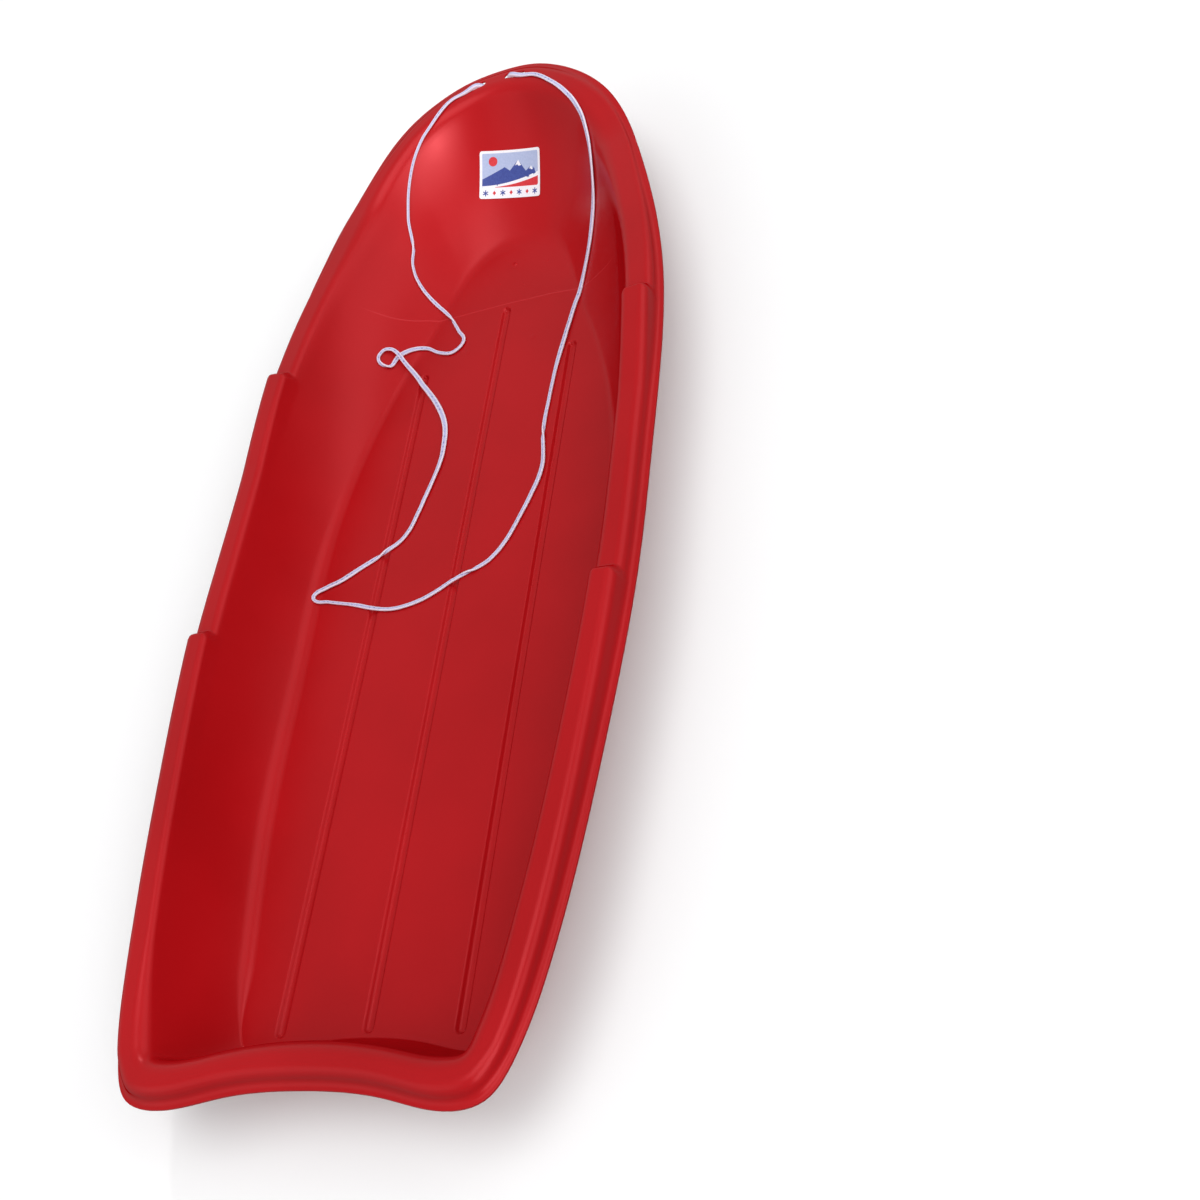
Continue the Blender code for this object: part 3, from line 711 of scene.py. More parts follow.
def shell_mesh(rows):
    points, faces = upper_side(rows)
    around, across = rows.shape[:2]
    top = np.array(points)
    normals = vertex_normals(points, faces)
    bottom = top - normals * WALL
    count = len(top)
    lip = np.array([row[0] for row in rows])
    outward = np.array([row[0] - row[1] for row in rows])
    outward[:, 2] = 0
    outward = unit(outward)
    bottom[:, 2] = np.maximum(bottom[:, 2], 0.0)
    verts = [top, bottom]
    rings = [list(range(0, around * across, across))]
    start = 2 * count
    upper = -LIP_ROUNDING
    lower = LIP_ROUNDING - WALL
    for angle, middle in ((45, upper), (0, upper), (0, lower), (-45, lower)):
        turn = math.radians(angle)
        ring = lip + outward * LIP_ROUNDING * math.cos(turn)
        ring[:, 0] = np.clip(ring[:, 0], -LENGTH / 2, LENGTH / 2)
        ring[:, 2] += middle + LIP_ROUNDING * math.sin(turn)
        verts.append(ring)
        rings.append(list(range(start, start + around)))
        start += around
    rings.append(list(range(count, count + around * across, across)))
    faces += [tuple(count + i for i in reversed(face)) for face in faces]
    for first, second in zip(rings, rings[1:]):
        faces += strip(looped(first), looped(second))
    mesh = mesh_of("shell", np.vstack(verts), faces)
    outward_faces(mesh)
    return mesh


def tray_tree(rows):
    """The upper side without its grooves, to lay things on."""
    around, across = rows.shape[:2]
    floor = [i * across + across - 1 for i in range(around)]
    bm = bmesh.new()
    verts = [bm.verts.new(point) for point in rows.reshape(-1, 3)]
    for face in [*grid_faces(rows), floor]:
        bm.faces.new([verts[i] for i in face])
    bmesh.ops.triangulate(bm, faces=bm.faces)
    bm.normal_update()
    bmesh.ops.reverse_faces(bm, faces=[face for face in bm.faces if face.normal.z < 0])
    tree = BVHTree.FromBMesh(bm)
    bm.free()
    return tree


def slot_middle(along):
    """Middle of a slot, the lip's edge beside it and the way into the sled there."""
    span = int(along)
    edge = lip_curve(span, along - span)
    into = unit(ridge_curve(span, along - span) - edge)
    return edge + into * SLOT_INSET, edge, into


def slot_place(side):
    """Middle and turn of a rope slot, which follows the rim around the nose."""
    along = halved(0.0, 4.0, lambda place: slot_middle(place)[0][1] < SLOT_SPACING / 2)
    centre, edge, into = slot_middle(along)
    turn = math.atan2(-into[0], into[1])
    height = FLOOR_TOP + base_height(edge[0]) + step_height(edge[0])
    return Vector((centre[0], side * centre[1], height)), side * turn


def slot_cutter(name, place, turn):
    """A bar with round ends that widens towards the upper and lower side."""
    wide = SLOT_FLARE + SLOT_OVERRUN
    levels = (
        (SLOT_OVERRUN, wide), (0.0, SLOT_FLARE), (-SLOT_FLARE, 0.0),
        (SLOT_FLARE - WALL, 0.0), (-WALL, SLOT_FLARE), (-WALL - SLOT_OVERRUN, wide),
    )
    reach = (SLOT_LENGTH - SLOT_WIDTH) / 2
    points = []
    for height, more in levels:
        radius = SLOT_WIDTH / 2 + more
        end = circle(0.0, 0.0, radius, -90, 180 / SLOT_END_PIECES, SLOT_END_PIECES + 1)
        points += [(side * (reach + x), side * y, height) for side in (1, -1) for x, y in end]
    size = 2 * (SLOT_END_PIECES + 1)
    rings = [range(size * n, size * (n + 1)) for n in range(len(levels))]
    faces = [tuple(rings[0]), tuple(reversed(rings[-1]))]
    for upper, lower in zip(rings, rings[1:]):
        faces += strip(looped(lower), looped(upper))
    cutter = add_object(name, mesh_of(name, points, faces, False))
    cutter.location = place
    cutter.rotation_euler = (0.0, 0.0, turn)
    return cutter


def applied(item):
    """The object with its modifiers made real."""
    bpy.context.view_layer.update()
    graph = bpy.context.evaluated_depsgraph_get()
    mesh = bpy.data.meshes.new_from_object(item.evaluated_get(graph))
    item.modifiers.clear()
    item.data = mesh
    return item


def make_shell(rows):
    shell = add_object("shell", shell_mesh(rows))
    cutters = []
    for side in (1, -1):
        place, turn = slot_place(side)
        cutter = slot_cutter(f"slot_cutter_{side}", place, turn)
        cutters.append(cutter)
        cut = shell.modifiers.new(cutter.name, "BOOLEAN")
        cut.operation = "DIFFERENCE"
        cut.solver = "EXACT"
        cut.object = cutter
    applied(shell)
    for cutter in cutters:
        bpy.data.objects.remove(cutter, do_unlink=True)
    shell.data.name = "shell"
    shell.data.shade_smooth()
    shell.data.set_sharp_from_angle(angle=math.radians(40))
    return shell


# The rope


def smooth_line(points, steps):
    points = np.array(points, float)
    chord, bend = curve_bends(points, False)
    close = [
        on_curve(points, chord, bend, i, share)
        for i in range(len(points) - 1)
        for share in np.arange(steps) / steps
    ]
    close.append(points[-1])
    return np.array(close)


def distances(line):
    """How far along a line each of its points is."""
    steps = np.linalg.norm(np.diff(line, axis=0), axis=1)
    return np.concatenate(([0.0], np.cumsum(steps)))


def resampled(places, along, rows):
    return np.array([np.interp(places, along, column) for column in rows.T]).T


def evenly(line, gap):
    """The line with points at equal distances, and their distances from its start."""
    along = distances(line)
    count = max(round(along[-1] / gap), 2)
    places = np.linspace(0.0, along[-1], count + 1)
    return resampled(places, along, line), places


def smoothed(values, times):
    values = np.array(values, float)
    for _ in range(times):
        values[1:-1] = (values[:-2] + 2 * values[1:-1] + values[2:]) / 4
    return values


def rope_turn(places):
    """How far the flat rope is turned about its own line."""
    turn = sum(size * np.sin(places * rate + start) for size, rate, start in ROPE_ROCKING)
    for number, place in enumerate(ROPE_TURNS):
        sign = 1 if number % 2 else -1
        turn += sign * math.pi * eased(places, place - ROPE_TURN_REACH, place + ROPE_TURN_REACH)
    return turn


def rope_line(tree):
    """Middle line, upward normals, turn and half width of the rope at close places."""
    route = smooth_line(ROPE_ROUTE, ROUTE_STEPS)
    flat, _ = evenly(route * (1, 1, 0), ROPE_GAP)
    along = distances(route[:, :2])
    flat_along = distances(flat)
    lift = np.interp(flat_along / flat_along[-1], along / along[-1], route[:, 2])
    turn = rope_turn(flat_along)
    widths = from_table(flat_along * 1000, ROPE_WIDTHS) / 1000
    sways = smoothed(from_table(flat_along * 1000, ROPE_SWAYS), 14) / 1000
    ahead = unit(np.gradient(smoothed(flat, 4), axis=0)[:, :2])
    flat[:, 0] += ahead[:, 1] * sways
    flat[:, 1] -= ahead[:, 0] * sways
    line = []
    normals = []
    for (x, y, _), more, angle, wide in zip(flat, lift, turn, widths):
        half = math.hypot(ROPE_HALF_HEIGHT * math.cos(angle), wide * math.sin(angle))
        clearance = half + STRAND_RISE + ROPE_CLEARANCE
        hit, normal, _, _ = tree.ray_cast(Vector((x, y, 1.0)), Vector((0.0, 0.0, -1.0)))
        height = hit.z + clearance / normal.z
        for _ in range(3):
            _, normal, _, distance = tree.find_nearest(Vector((x, y, height)))
            height += (clearance - distance) / max(abs(normal.z), 0.3)
        line.append((x, y, height + more))
        normals.append(tuple(normal))
    line = np.array(line)
    line[:, 2] = smoothed(line[:, 2], 12)
    return line, smoothed(normals, 20), turn, widths


def strand_height(own, other, sign):
    """Height of the strands that wind one way, which dip where the others cross over."""
    near = np.round(own)
    crest = np.sqrt(np.clip(1 - (STRAND_SHARPNESS * (own - near)) ** 2, 0, 1))
    return crest + sign * STRAND_CROSSING * np.cos(math.pi * (other + near))


def braided_tube(line, normals, turn, widths, flat_share):
    """A braided rope along a line: points, faces, heights in the braid and ring middles."""
    rings, places = evenly(line, RING_GAP)
    share = places / places[-1]
    source = np.linspace(0, 1, len(line))
    normal = resampled(share, source, normals)
    angle = np.interp(share, source, turn)
    half = np.interp(share, source, widths)
    flatness = np.interp(share, source, flat_share)
    tangent = unit(np.gradient(smoothed(rings, 4), axis=0))
    normal = unit(normal - tangent * (normal * tangent).sum(1)[:, None])
    side = np.cross(tangent, normal)
    mean = ROUND_RADIUS
    points = []
    heights = []
    for n in range(len(rings)):
        theta = 2 * math.pi * (2 * np.arange(ROPE_SIDES) + n % 2) / (2 * ROPE_SIDES)
        across = theta * STRANDS / (2 * math.pi)
        along = places[n] * STRANDS / STRAND_LAY
        first = across + along
        second = across - along
        rise = np.maximum(strand_height(first, second, 1), strand_height(second, first, -1))
        rise = (rise - STRAND_LEVEL) / STRAND_RANGE
        wide = mean + (half[n] - mean) * flatness[n]
        thick = mean + (ROPE_HALF_HEIGHT - mean) * flatness[n]
        c, s = np.cos(theta), np.sin(theta)
        waist = 1 - ROPE_WAIST * flatness[n] * np.exp(-(c / ROPE_WAIST_WIDTH) ** 2)
        grow = 1 + rise * STRAND_RISE / mean
        flat_across = wide * np.sign(c) * np.abs(c) ** ROPE_EDGE_POWER * grow
        flat_up = thick * np.sign(s) * np.abs(s) ** ROPE_FACE_POWER * waist * grow
        turned_across = flat_across * math.cos(angle[n]) - flat_up * math.sin(angle[n])
        turned_up = flat_across * math.sin(angle[n]) + flat_up * math.cos(angle[n])
        points.append(rings[n] + side[n] * turned_across[:, None] + normal[n] * turned_up[:, None])
        heights.append(rise)
    return np.vstack(points), lozenges(len(rings) - 1), np.concatenate(heights), rings


def lozenges(last):
    """Faces of a tube whose every second ring is turned by half a side."""
    sides = ROPE_SIDES
    faces = [tuple(reversed(range(sides))), tuple(range(last * sides, (last + 1) * sides))]
    for n in range(last - 1):
        for m in range(sides):
            after = (n + 1) * sides + (m + n % 2) % sides
            before = (n + 1) * sides + (m + n % 2 - 1) % sides
            faces.append((n * sides + m, after, (n + 2) * sides + m, before))
    for m in range(sides):
        following = (m + 1) % sides
        faces.append((m, following, sides + m))
        below = (last - 1) * sides + (m + last % 2) % sides
        faces.append((last * sides + following, last * sides + m, below))
    return faces


def braided_object(name, line, normals, turn, widths, flat_share):
    points, faces, heights, rings = braided_tube(line, normals, turn, widths, flat_share)
    mesh = mesh_of(name, points, faces)
    outward_faces(mesh)
    turned = np.arange(len(rings))[:, None] % 2 + 2 * np.arange(ROPE_SIDES)[None, :]
    marks = {
        "edge": np.abs(np.cos(math.pi * turned / ROPE_SIDES)).ravel(),
        "rise": heights,
        "along": np.repeat(np.arange(len(rings)) * RING_GAP, ROPE_SIDES),
    }
    for key, values in marks.items():
        attribute = mesh.attributes.new(key, "FLOAT", "POINT")
        attribute.data.foreach_set("value", values.astype(np.float32))
    return add_object(name, mesh), rings


def make_rope(tree):
    line, normals, turn, widths = rope_line(tree)
    along = np.linspace(0, ROPE_LENGTH, len(line))
    flat = eased(np.minimum(along, ROPE_LENGTH - along), ROPE_FLAT_START, ROPE_FLAT_END)
    return braided_object("rope", line, normals, turn, widths, flat)


def make_knot(name, end, towards):
    """A stop knot under the nose: wraps squeezed together, with a short tail that hangs down."""
    axis = (Vector(towards) - Vector(end)).normalized()
    centre = Vector(end) - axis * (KNOT_HEIGHT / 2 + KNOT_GAP)
    across = axis.orthogonal().normalized()
    other = axis.cross(across)
    points = [centre + axis * (KNOT_HEIGHT / 2 - 0.0002), centre + axis * (WRAP_SPACING + 0.0012)]
    for i in range(KNOT_STEPS + 1):
        share = i / KNOT_STEPS
        height = WRAP_SPACING * (1 - 2 * share)
        angle = 2 * math.pi * KNOT_WRAPS * share
        ease = min(share / KNOT_EASE, (1 - share) / KNOT_EASE, 1.0)
        radius = (WRAP_RADIUS - WRAP_TAPER * abs(height) / WRAP_SPACING) * (0.25 + 0.75 * ease)
        out = across * math.cos(angle) + other * math.sin(angle)
        points.append(centre + axis * height + out * radius)
    points.append(centre - axis * (KNOT_HEIGHT / 2 - 0.0008) + Vector((0, 0, -0.0008)))
    points.append(centre + Vector((0, 0, -KNOT_HEIGHT / 2 - 0.55 * TAIL_LENGTH)))
    points.append(centre + Vector((0, 0, -KNOT_HEIGHT / 2 - TAIL_LENGTH)))
    line = smooth_line(points, 12)
    normal = np.array(across)
    normals = []
    for tangent in unit(np.gradient(line, axis=0)):
        normal = unit(normal - tangent * (normal @ tangent))
        normals.append(normal)
    zero = np.zeros(len(line))
    return braided_object(name, line, np.array(normals), zero, zero, zero)[0]


# The label


def label_frame(tree):
    station = Vector((LABEL_CENTRE, 0.0, 1.0))
    centre, normal, _, _ = tree.ray_cast(station, Vector((0.0, 0.0, -1.0)))
    across = Vector((0.0, 1.0, 0.0))
    across = (across - normal * across.dot(normal)).normalized()
    across = Quaternion(normal, LABEL_TURN) @ across
    return centre, normal, across, across.cross(normal)


def rounded_box(left, low, right, high, radius):
    corners = (
        (right - radius, high - radius), (left + radius, high - radius),
        (left + radius, low + radius), (right - radius, low + radius),
    )
    points = []
    for n, (x, y) in enumerate(corners):
        points += circle(x, y, radius, 90 * n, 22.5, 5)
    return points


def star(x, y, size, thin):
    """A six-pointed figure of crossed bars, as separate outlines."""
    shapes = []
    for turn in (30, 90, 150):
        angle = math.radians(turn)
        c, s = math.cos(angle), math.sin(angle)
        shapes.append([
            (x + c * a * size - s * b * thin, y + s * a * size + c * b * thin)
            for a, b in ((-1, -1), (1, -1), (1, 1), (-1, 1))
        ])
    return shapes


def inside(point, shape):
    hit = False
    for (x, y), (u, v) in zip(shape, shape[1:] + shape[:1]):
        if (y > point[1]) != (v > point[1]) and point[0] < x + (u - x) * (point[1] - y) / (v - y):
            hit = not hit
    return hit


def pine(x, low, size):
    """Three stacked triangles on a short trunk."""
    trunk = ((-0.07, 0.0), (0.07, 0.0), (0.07, 0.2), (-0.07, 0.2))
    shapes = [trunk]
    for half, foot, top in ((0.32, 0.14, 0.52), (0.26, 0.36, 0.74), (0.18, 0.58, 1.0)):
        shapes.append(((-half, foot), (half, foot), (0.0, top)))
    return [[(x + across * size, low + up * size) for across, up in shape] for shape in shapes]


def hillside(height, power, count):
    """A slope that falls from the left edge of the print and gets flatter."""
    shares = [i / 14 for i in range(count)]
    low, rise = height
    return [(PRINT_EDGE * (2 * share - 1), low + rise * (1 - share) ** power) for share in shares]


def label_print():
    """Outlines in millimetres from the label's middle and the ink of each, in painting order."""
    box = rounded_box(-PRINT_EDGE, PRINT_LOW, PRINT_EDGE, PRINT_HIGH, 1.5)
    left_foot = [(-36.0, PRINT_LOW), (-PRINT_EDGE, -13.5)]
    foot = [(PRINT_EDGE, -13.5), (36.0, PRINT_LOW), *left_foot]
    ridge = [
        (-PRINT_EDGE, -3.0), (-27.0, 8.0), (-20.0, 2.5), (-9.0, 16.0), (2.0, 4.0), (9.0, 8.5),
        (PRINT_EDGE, -5.0),
    ]
    sun = circle(24.0, 15.5, 5.6, 0, 18, 20)
    shapes = [(box, PALE_INK), (sun, RED_INK), (ridge + foot, BLUE_INK)]
    for left, top, right, low in ((-31.0, 8.0, -23.5, 3.8), (-14.5, 16.0, -4.0, 9.4)):
        middle = (left + right) / 2
        cap = [
            (left + (middle - left) * 0.22, low + 0.2), (middle, top + 0.2), (right - 0.8, low + 0.2),
            (middle + 1.3, low + 1.4), (middle - 0.6, low - 0.4),
        ]
        shapes.append((cap, WHITE_INK))
    shapes.append((hillside((-13.0, 14.0), 1.7, 15) + foot, WHITE_INK))
    track = hillside((PRINT_LOW, 11.0), 1.9, 12)
    shapes.append((track + [(21.0, PRINT_LOW), *left_foot], RED_INK))
    for x, low, size in ((-31.5, -2.5, 9.0), (-23.0, -5.5, 7.5), (27.5, -12.5, 12.0), (18.5, -12.8, 8.5)):
        shapes += [(shape, BLUE_INK) for shape in pine(x, low, size)]
    for i in range(7):
        x = -33.0 + 11.0 * i
        if i % 2:
            corners = ((-2.2, 0.0), (0.0, -2.8), (2.2, 0.0), (0.0, 2.8))
            shapes.append(([(x + u, MARKS_HEIGHT + v) for u, v in corners], RED_INK))
        else:
            shapes += [(shape, BLUE_INK) for shape in star(x, MARKS_HEIGHT, 3.6, 0.65)]
    return shapes


def make_label(tree, inks):
    """A thin sticker that follows the nose bowl, its print made of separate faces."""
    centre, normal, across, along = label_frame(tree)
    half_x, half_y = LABEL_WIDTH * 500, LABEL_HEIGHT * 500
    outline = rounded_box(-half_x, -half_y, half_x, half_y, LABEL_CORNER * 1000)
    shapes = label_print()
    plan = []
    edges = []
    for shape in [outline] + [shape for shape, _ in shapes]:
        start = len(plan)
        for i, (x, y) in enumerate(shape):
            u, v = shape[(i + 1) % len(shape)]
            pieces = max(1, round(math.hypot(u - x, v - y) / 4))
            for k in range(pieces):
                plan.append(Vector((x + (u - x) * k / pieces, y + (v - y) * k / pieces)))
        edges += [(i, i + 1) for i in range(start, len(plan) - 1)] + [(len(plan) - 1, start)]
    step = 4
    for i in range(-9, 10):
        for k in range(-6, 7):
            if abs(i * step) < half_x - 1.5 and abs(k * step) < half_y - 1.5:
                plan.append(Vector((i * step + 0.13, k * step + 0.17)))
    made, _, patches, _, _, _ = delaunay_2d_cdt(plan, edges, [], 0, 1e-4)
    made = [tuple(place) for place in made]
    top = []
    for x, y in made:
        above = centre + across * x / 1000 + along * y / 1000 + normal * LABEL_REACH
        hit, _, _, _ = tree.ray_cast(above, -normal)
        top.append(hit + normal * (LABEL_GAP + LABEL_THICKNESS))
    faces = []
    marks = []
    for patch in patches:
        middle = tuple(sum(made[i][axis] for i in patch) / len(patch) for axis in (0, 1))
        if not inside(middle, outline):
            continue
        ink = WHITE_INK
        for shape, colour in shapes:
            if inside(middle, shape):
                ink = colour
        faces.append(tuple(patch))
        marks.append(ink)
    count = len(top)
    points = top + [point - normal * LABEL_THICKNESS for point in top]
    sides = {}
    for face in faces:
        for first, second in zip(face, face[1:] + face[:1]):
            if (second, first) in sides:
                del sides[(second, first)]
            else:
                sides[(first, second)] = True
    under = [tuple(count + i for i in reversed(face)) for face in faces]
    rim = [(second, first, count + first, count + second) for first, second in sides]
    mesh = mesh_of("label", points, faces + under + rim)
    for ink in inks:
        mesh.materials.append(ink)
    for patch, mark in zip(mesh.polygons, marks + [WHITE_INK] * (len(under) + len(rim))):
        patch.material_index = mark
    outward_faces(mesh)
    mesh.set_sharp_from_angle(angle=math.radians(50))
    return add_object("label", mesh)


# Finishes


class Nodes:
    """A material's node tree, with short ways to add and join nodes."""

    def __init__(self, name):
        self.material = bpy.data.materials.new(name)
        self.material.use_nodes = True
        self.tree = self.material.node_tree
        self.shader = self.tree.nodes["Principled BSDF"]
        self.place = self.add("ShaderNodeTexCoord").outputs["Object"]

    def add(self, kind, inputs=(), **settings):
        node = self.tree.nodes.new(kind)
        for key, value in settings.items():
            setattr(node, key, value)
        for key, value in dict(inputs).items():
            self.give(node.inputs[key], value)
        return node

    def give(self, socket, value):
        if isinstance(value, bpy.types.NodeSocket):
            self.tree.links.new(value, socket)
        else:
            socket.default_value = value

    def shade(self, **values):
        for key, value in values.items():
            self.give(self.shader.inputs[key.replace("_", " ")], value)

    def attribute(self, name):
        return self.add("ShaderNodeAttribute", attribute_name=name).outputs["Fac"]

    def math(self, operation, first, second=0.0):
        return self.add("ShaderNodeMath", {0: first, 1: second}, operation=operation).outputs[0]

    def times(self, first, second):
        return self.math("MULTIPLY", first, second)

    def noise(self, scale, detail=2.0):
        inputs = {"Vector": self.place, "Scale": scale, "Detail": detail, "Roughness": 0.5}
        return self.add("ShaderNodeTexNoise", inputs).outputs["Fac"]

    def between(self, value, low, high, out_low=0.0, out_high=1.0):
        inputs = {"Value": value, "From Min": low, "From Max": high, "To Min": out_low, "To Max": out_high}
        node = self.add("ShaderNodeMapRange", inputs, interpolation_type="SMOOTHSTEP")
        return node.outputs["Result"]

    def mix(self, share, first, second):
        node = self.add("ShaderNodeMix", data_type="RGBA")
        self.give(node.inputs["Factor"], share)
        self.give(node.inputs[6], first)
        self.give(node.inputs[7], second)
        return node.outputs[2]

    def bump(self, height, strength, distance, normal=None):
        node = self.add("ShaderNodeBump", {"Height": height, "Strength": strength, "Distance": distance})
        if normal:
            self.give(node.inputs["Normal"], normal)
        return node.outputs["Normal"]


def colour(red, green, blue):
    return (red, green, blue, 1.0)


def witness_line_and_painted_highlight(made, axes):
    """How strongly the mould's faint line, with its painted highlight, shows at a place of the tray."""
    across = made.between(axes["Y"], -HALF_WIDTH, HALF_WIDTH)
    across.node.interpolation_type = "LINEAR"
    bend = made.add("ShaderNodeFloatCurve", {"Value": across})
    line = bend.mapping.curves[0]
    line.points[0].location = (0.0, WITNESS_LINE[0][1])
    line.points[1].location = (1.0, WITNESS_LINE[-1][1])
    for y, x in WITNESS_LINE[1:-1]:
        line.points.new(y / (2 * HALF_WIDTH) + 0.5, x)
    bend.mapping.update()
    away = made.math("ABSOLUTE", made.math("SUBTRACT", axes["X"], bend.outputs[0]))
    above = made.between(axes["Z"], 0.0055, 0.0065)
    mark = made.times(made.between(away, 0.0, 0.0011, 1.0, 0.0), above)
    aside = made.math("ABSOLUTE", axes["Y"])
    return made.times(mark, made.between(aside, 0.150, 0.170, 1.0, 0.0))


def red_plastic():
    """Glossy red with faint clouds and specks and a mould line with a painted highlight, less glossy where
    it is seen edge on.
    """
    made = Nodes("red_plastic")
    axes = made.add("ShaderNodeSeparateXYZ", {"Vector": made.place}).outputs
    tone = made.between(made.noise(7.0, 3.0), 0.3, 0.7)
    specks = made.between(made.noise(420.0), 0.35, 0.8, 0.0, 0.10)
    base = made.mix(tone, colour(0.368, 0.0040, 0.0060), colour(0.405, 0.0046, 0.0072))
    base = made.mix(specks, base, colour(0.46, 0.008, 0.012))
    mark = witness_line_and_painted_highlight(made, axes)
    # Painted highlight: the mould line is painted a lighter red along its ridge.
    base = made.mix(made.times(mark, 0.35), base, colour(0.62, 0.05, 0.06))
    rough = made.between(made.noise(26.0, 4.0), 0.3, 0.75, 0.28, 0.31)
    peel = made.bump(made.noise(650.0), 0.025, 0.0006)
    peel = made.bump(mark, 0.3, 0.0004, peel)
    facing = made.add("ShaderNodeLayerWeight", {"Blend": 0.5}).outputs["Facing"]
    gloss = made.between(facing, 0.45, 0.80, 0.76, 0.0)
    made.shade(
        Base_Color=base, Roughness=rough, Normal=peel, IOR=1.49,
        Specular_Tint=colour(1.0, 0.22, 0.24), Specular_IOR_Level=gloss,
    )
    return made.material


def white_rope():
    """Pale braid with small dark dashes along it, painted shade in the hollows between its strands, and
    painted light that makes the flat rope's edges paler and its middle darker and bluish.
    """
    made = Nodes("white_rope")
    rise = made.attribute("rise")
    along = made.attribute("along")
    edge = made.attribute("edge")
    fibre = made.noise(900.0, 3.0)
    # Painted light: the flat rope's edges are painted paler and its middle darker and bluish, as light
    # shining through the braid's thin edges would show.
    middle = made.between(edge, 0.15, 0.75, 1.0, 0.0)
    base = made.mix(middle, colour(0.77, 0.70, 0.82), colour(0.41, 0.43, 0.68))
    # Painted shade: the braid is darkened towards blue-grey where the strands dip, in the hollows between
    # them.
    base = made.mix(made.between(rise, 0.0, 0.8, 0.55, 0.0), base, colour(0.26, 0.27, 0.46))
    base = made.mix(made.between(fibre, 0.4, 0.75, 0.0, 0.30), base, colour(0.84, 0.77, 0.88))
    wander = made.times(made.noise(60.0, 1.0), 9.0)
    waves = made.times(along, 2 * math.pi / 0.0065)
    beat = made.math("SINE", made.math("ADD", waves, wander))
    centre = made.between(edge, 0.10, 0.35, 1.0, 0.0)
    dash = made.times(made.between(beat, 0.35, 0.8), centre)
    chosen = made.between(made.noise(45.0), 0.42, 0.62, 0.0, 0.7)
    base = made.mix(made.times(dash, chosen), base, colour(0.10, 0.12, 0.30))
    bump = made.bump(fibre, 0.45, 0.0005)
    made.shade(Base_Color=base, Roughness=0.78, Normal=bump, Sheen_Weight=0.25, Sheen_Roughness=0.5)
    return made.material


def print_ink(name, first, second):
    made = Nodes(name)
    grain = made.between(made.noise(500.0, 3.0), 0.35, 0.7)
    base = made.mix(grain, colour(*first), colour(*second))
    rough = made.between(made.noise(90.0), 0.3, 0.7, 0.36, 0.46)
    made.shade(Base_Color=base, Roughness=rough, IOR=1.45)
    return made.material


# Studio


def floor_mesh():
    """A flat round floor whose edge curves up into a wall, so that no horizon shows."""
    rings = [(FLOOR_REACH * i / 4, 0.0) for i in range(1, 5)]
    for i in range(1, COVE_PIECES + 1):
        angle = math.pi / 2 * i / COVE_PIECES
        rings.append((FLOOR_REACH + COVE * math.sin(angle), COVE * (1 - math.cos(angle))))
    rings.append((FLOOR_REACH + COVE, 3 * COVE))
    points = [(0.0, 0.0, 0.0)]
    rows = []
    for radius, height in rings:
        rows.append(looped(range(len(points), len(points) + FLOOR_SIDES)))
        round_line = circle(0.0, 0.0, radius, 0, 360 / FLOOR_SIDES, FLOOR_SIDES)
        points += [(x, y, height) for x, y in round_line]
    faces = [(0, first, after) for first, after in zip(rows[0], rows[0][1:])]
    for inner, outer in zip(rows, rows[1:]):
        faces += strip(outer, inner)
    return mesh_of("floor", points, faces)


def make_floor():
    floor = add_object("floor", floor_mesh())
    made = Nodes("floor_white")
    shade = made.mix(made.noise(1.5), colour(0.92, 0.92, 0.925), colour(0.935, 0.935, 0.94))
    made.shade(Base_Color=shade, Roughness=0.9, Specular_IOR_Level=0.1)
    floor.data.materials.append(made.material)
    floor.visible_diffuse = False
    floor.visible_glossy = False
    floor.visible_shadow = False


def make_sky():
    """White surroundings, brighter above the horizon than below it."""
    world = bpy.data.worlds.new("studio")
    bpy.context.scene.world = world
    world.use_nodes = True
    tree = world.node_tree
    back = tree.nodes["Background"]
    back.inputs["Color"].default_value = colour(1.0, 1.0, 1.0)
    where = tree.nodes.new("ShaderNodeTexCoord")
    split = tree.nodes.new("ShaderNodeSeparateXYZ")
    tree.links.new(where.outputs["Generated"], split.inputs[0])
    level = tree.nodes.new("ShaderNodeMapRange")
    level.interpolation_type = "SMOOTHSTEP"
    values = {"From Min": -0.05, "From Max": 0.05, "To Min": SKY_GROUND, "To Max": SKY_ABOVE}
    for name, value in values.items():
        level.inputs[name].default_value = value
    tree.links.new(split.outputs["Z"], level.inputs["Value"])
    tree.links.new(level.outputs["Result"], back.inputs["Strength"])


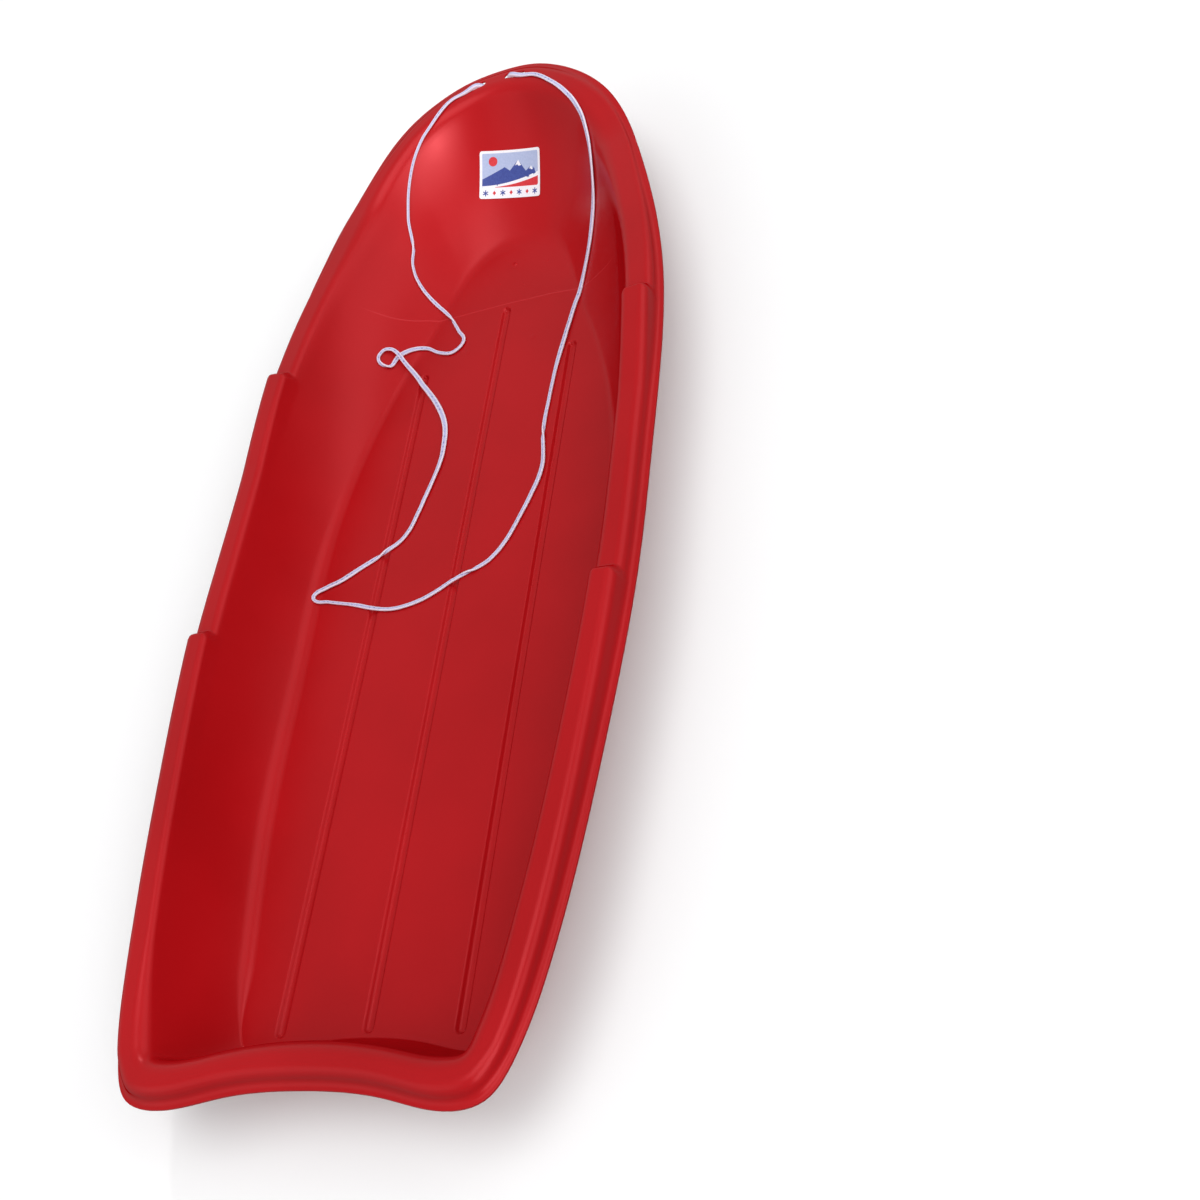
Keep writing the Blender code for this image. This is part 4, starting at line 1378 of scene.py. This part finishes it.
def make_lights():
    for name, towards, strength in SUNS:
        add_sun(name, towards, strength)
    for values in SPOTS:
        add_spot(*values)
    near = add_light("near", "AREA", NEAR_PLACE, NEAR_TARGET)
    near.shape = "DISK"
    near.size = NEAR_SIZE
    near.energy = NEAR_POWER
    bpy.context.scene.view_settings.view_transform = "Standard"


def add_light(name, kind, place, target):
    data = bpy.data.lights.new(name, kind)
    light = bpy.data.objects.new(name, data)
    bpy.context.scene.collection.objects.link(light)
    light.location = place
    light.rotation_mode = "QUATERNION"
    light.rotation_quaternion = (Vector(target) - Vector(place)).to_track_quat("-Z", "Y")
    return data


def add_sun(name, towards, strength):
    sun = add_light(name, "SUN", Vector(towards).normalized() * 3, (0.0, 0.0, 0.0))
    sun.angle = SUN_SPREAD
    sun.energy = strength


def add_spot(name, place, target, angle, power):
    """A narrow light with a soft edge, its angle in degrees."""
    spot = add_light(name, "SPOT", place, target)
    spot.spot_size = math.radians(angle)
    spot.spot_blend = 1.0
    spot.shadow_soft_size = SPOT_RADIUS
    spot.energy = power


def settle(item, node):
    """The piece stands for its CAD node, which it hides, and hangs under the root body."""
    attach(item, "root")
    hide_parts(node)


make_camera()
tray = tray_points()
tree = tray_tree(tray)
rope_finish = white_rope()
rope, rings = make_rope(tree)
rope.data.materials.append(rope_finish)
settle(rope, "pull_rope")
for side, end, towards in (
    ("left", rings[0], rings[KNOT_RING]), ("right", rings[-1], rings[-1 - KNOT_RING]),
):
    knot = make_knot(f"knot_at_{side}", end, towards)
    knot.data.materials.append(rope_finish)
    settle(knot, f"knot_{side}")
shell = make_shell(tray)
shell.data.materials.clear()
shell.data.materials.append(red_plastic())
settle(shell, "sled_shell")
label = make_label(tree, [
    print_ink("label_white", (0.80, 0.80, 0.84), (0.74, 0.74, 0.80)),
    print_ink("label_blue", (0.03, 0.05, 0.25), (0.04, 0.07, 0.30)),
    print_ink("label_red", (0.55, 0.02, 0.03), (0.62, 0.03, 0.04)),
    print_ink("label_pale", (0.35, 0.42, 0.62), (0.40, 0.46, 0.66)),
])
settle(label, "nose_label")
make_floor()
make_sky()
make_lights()
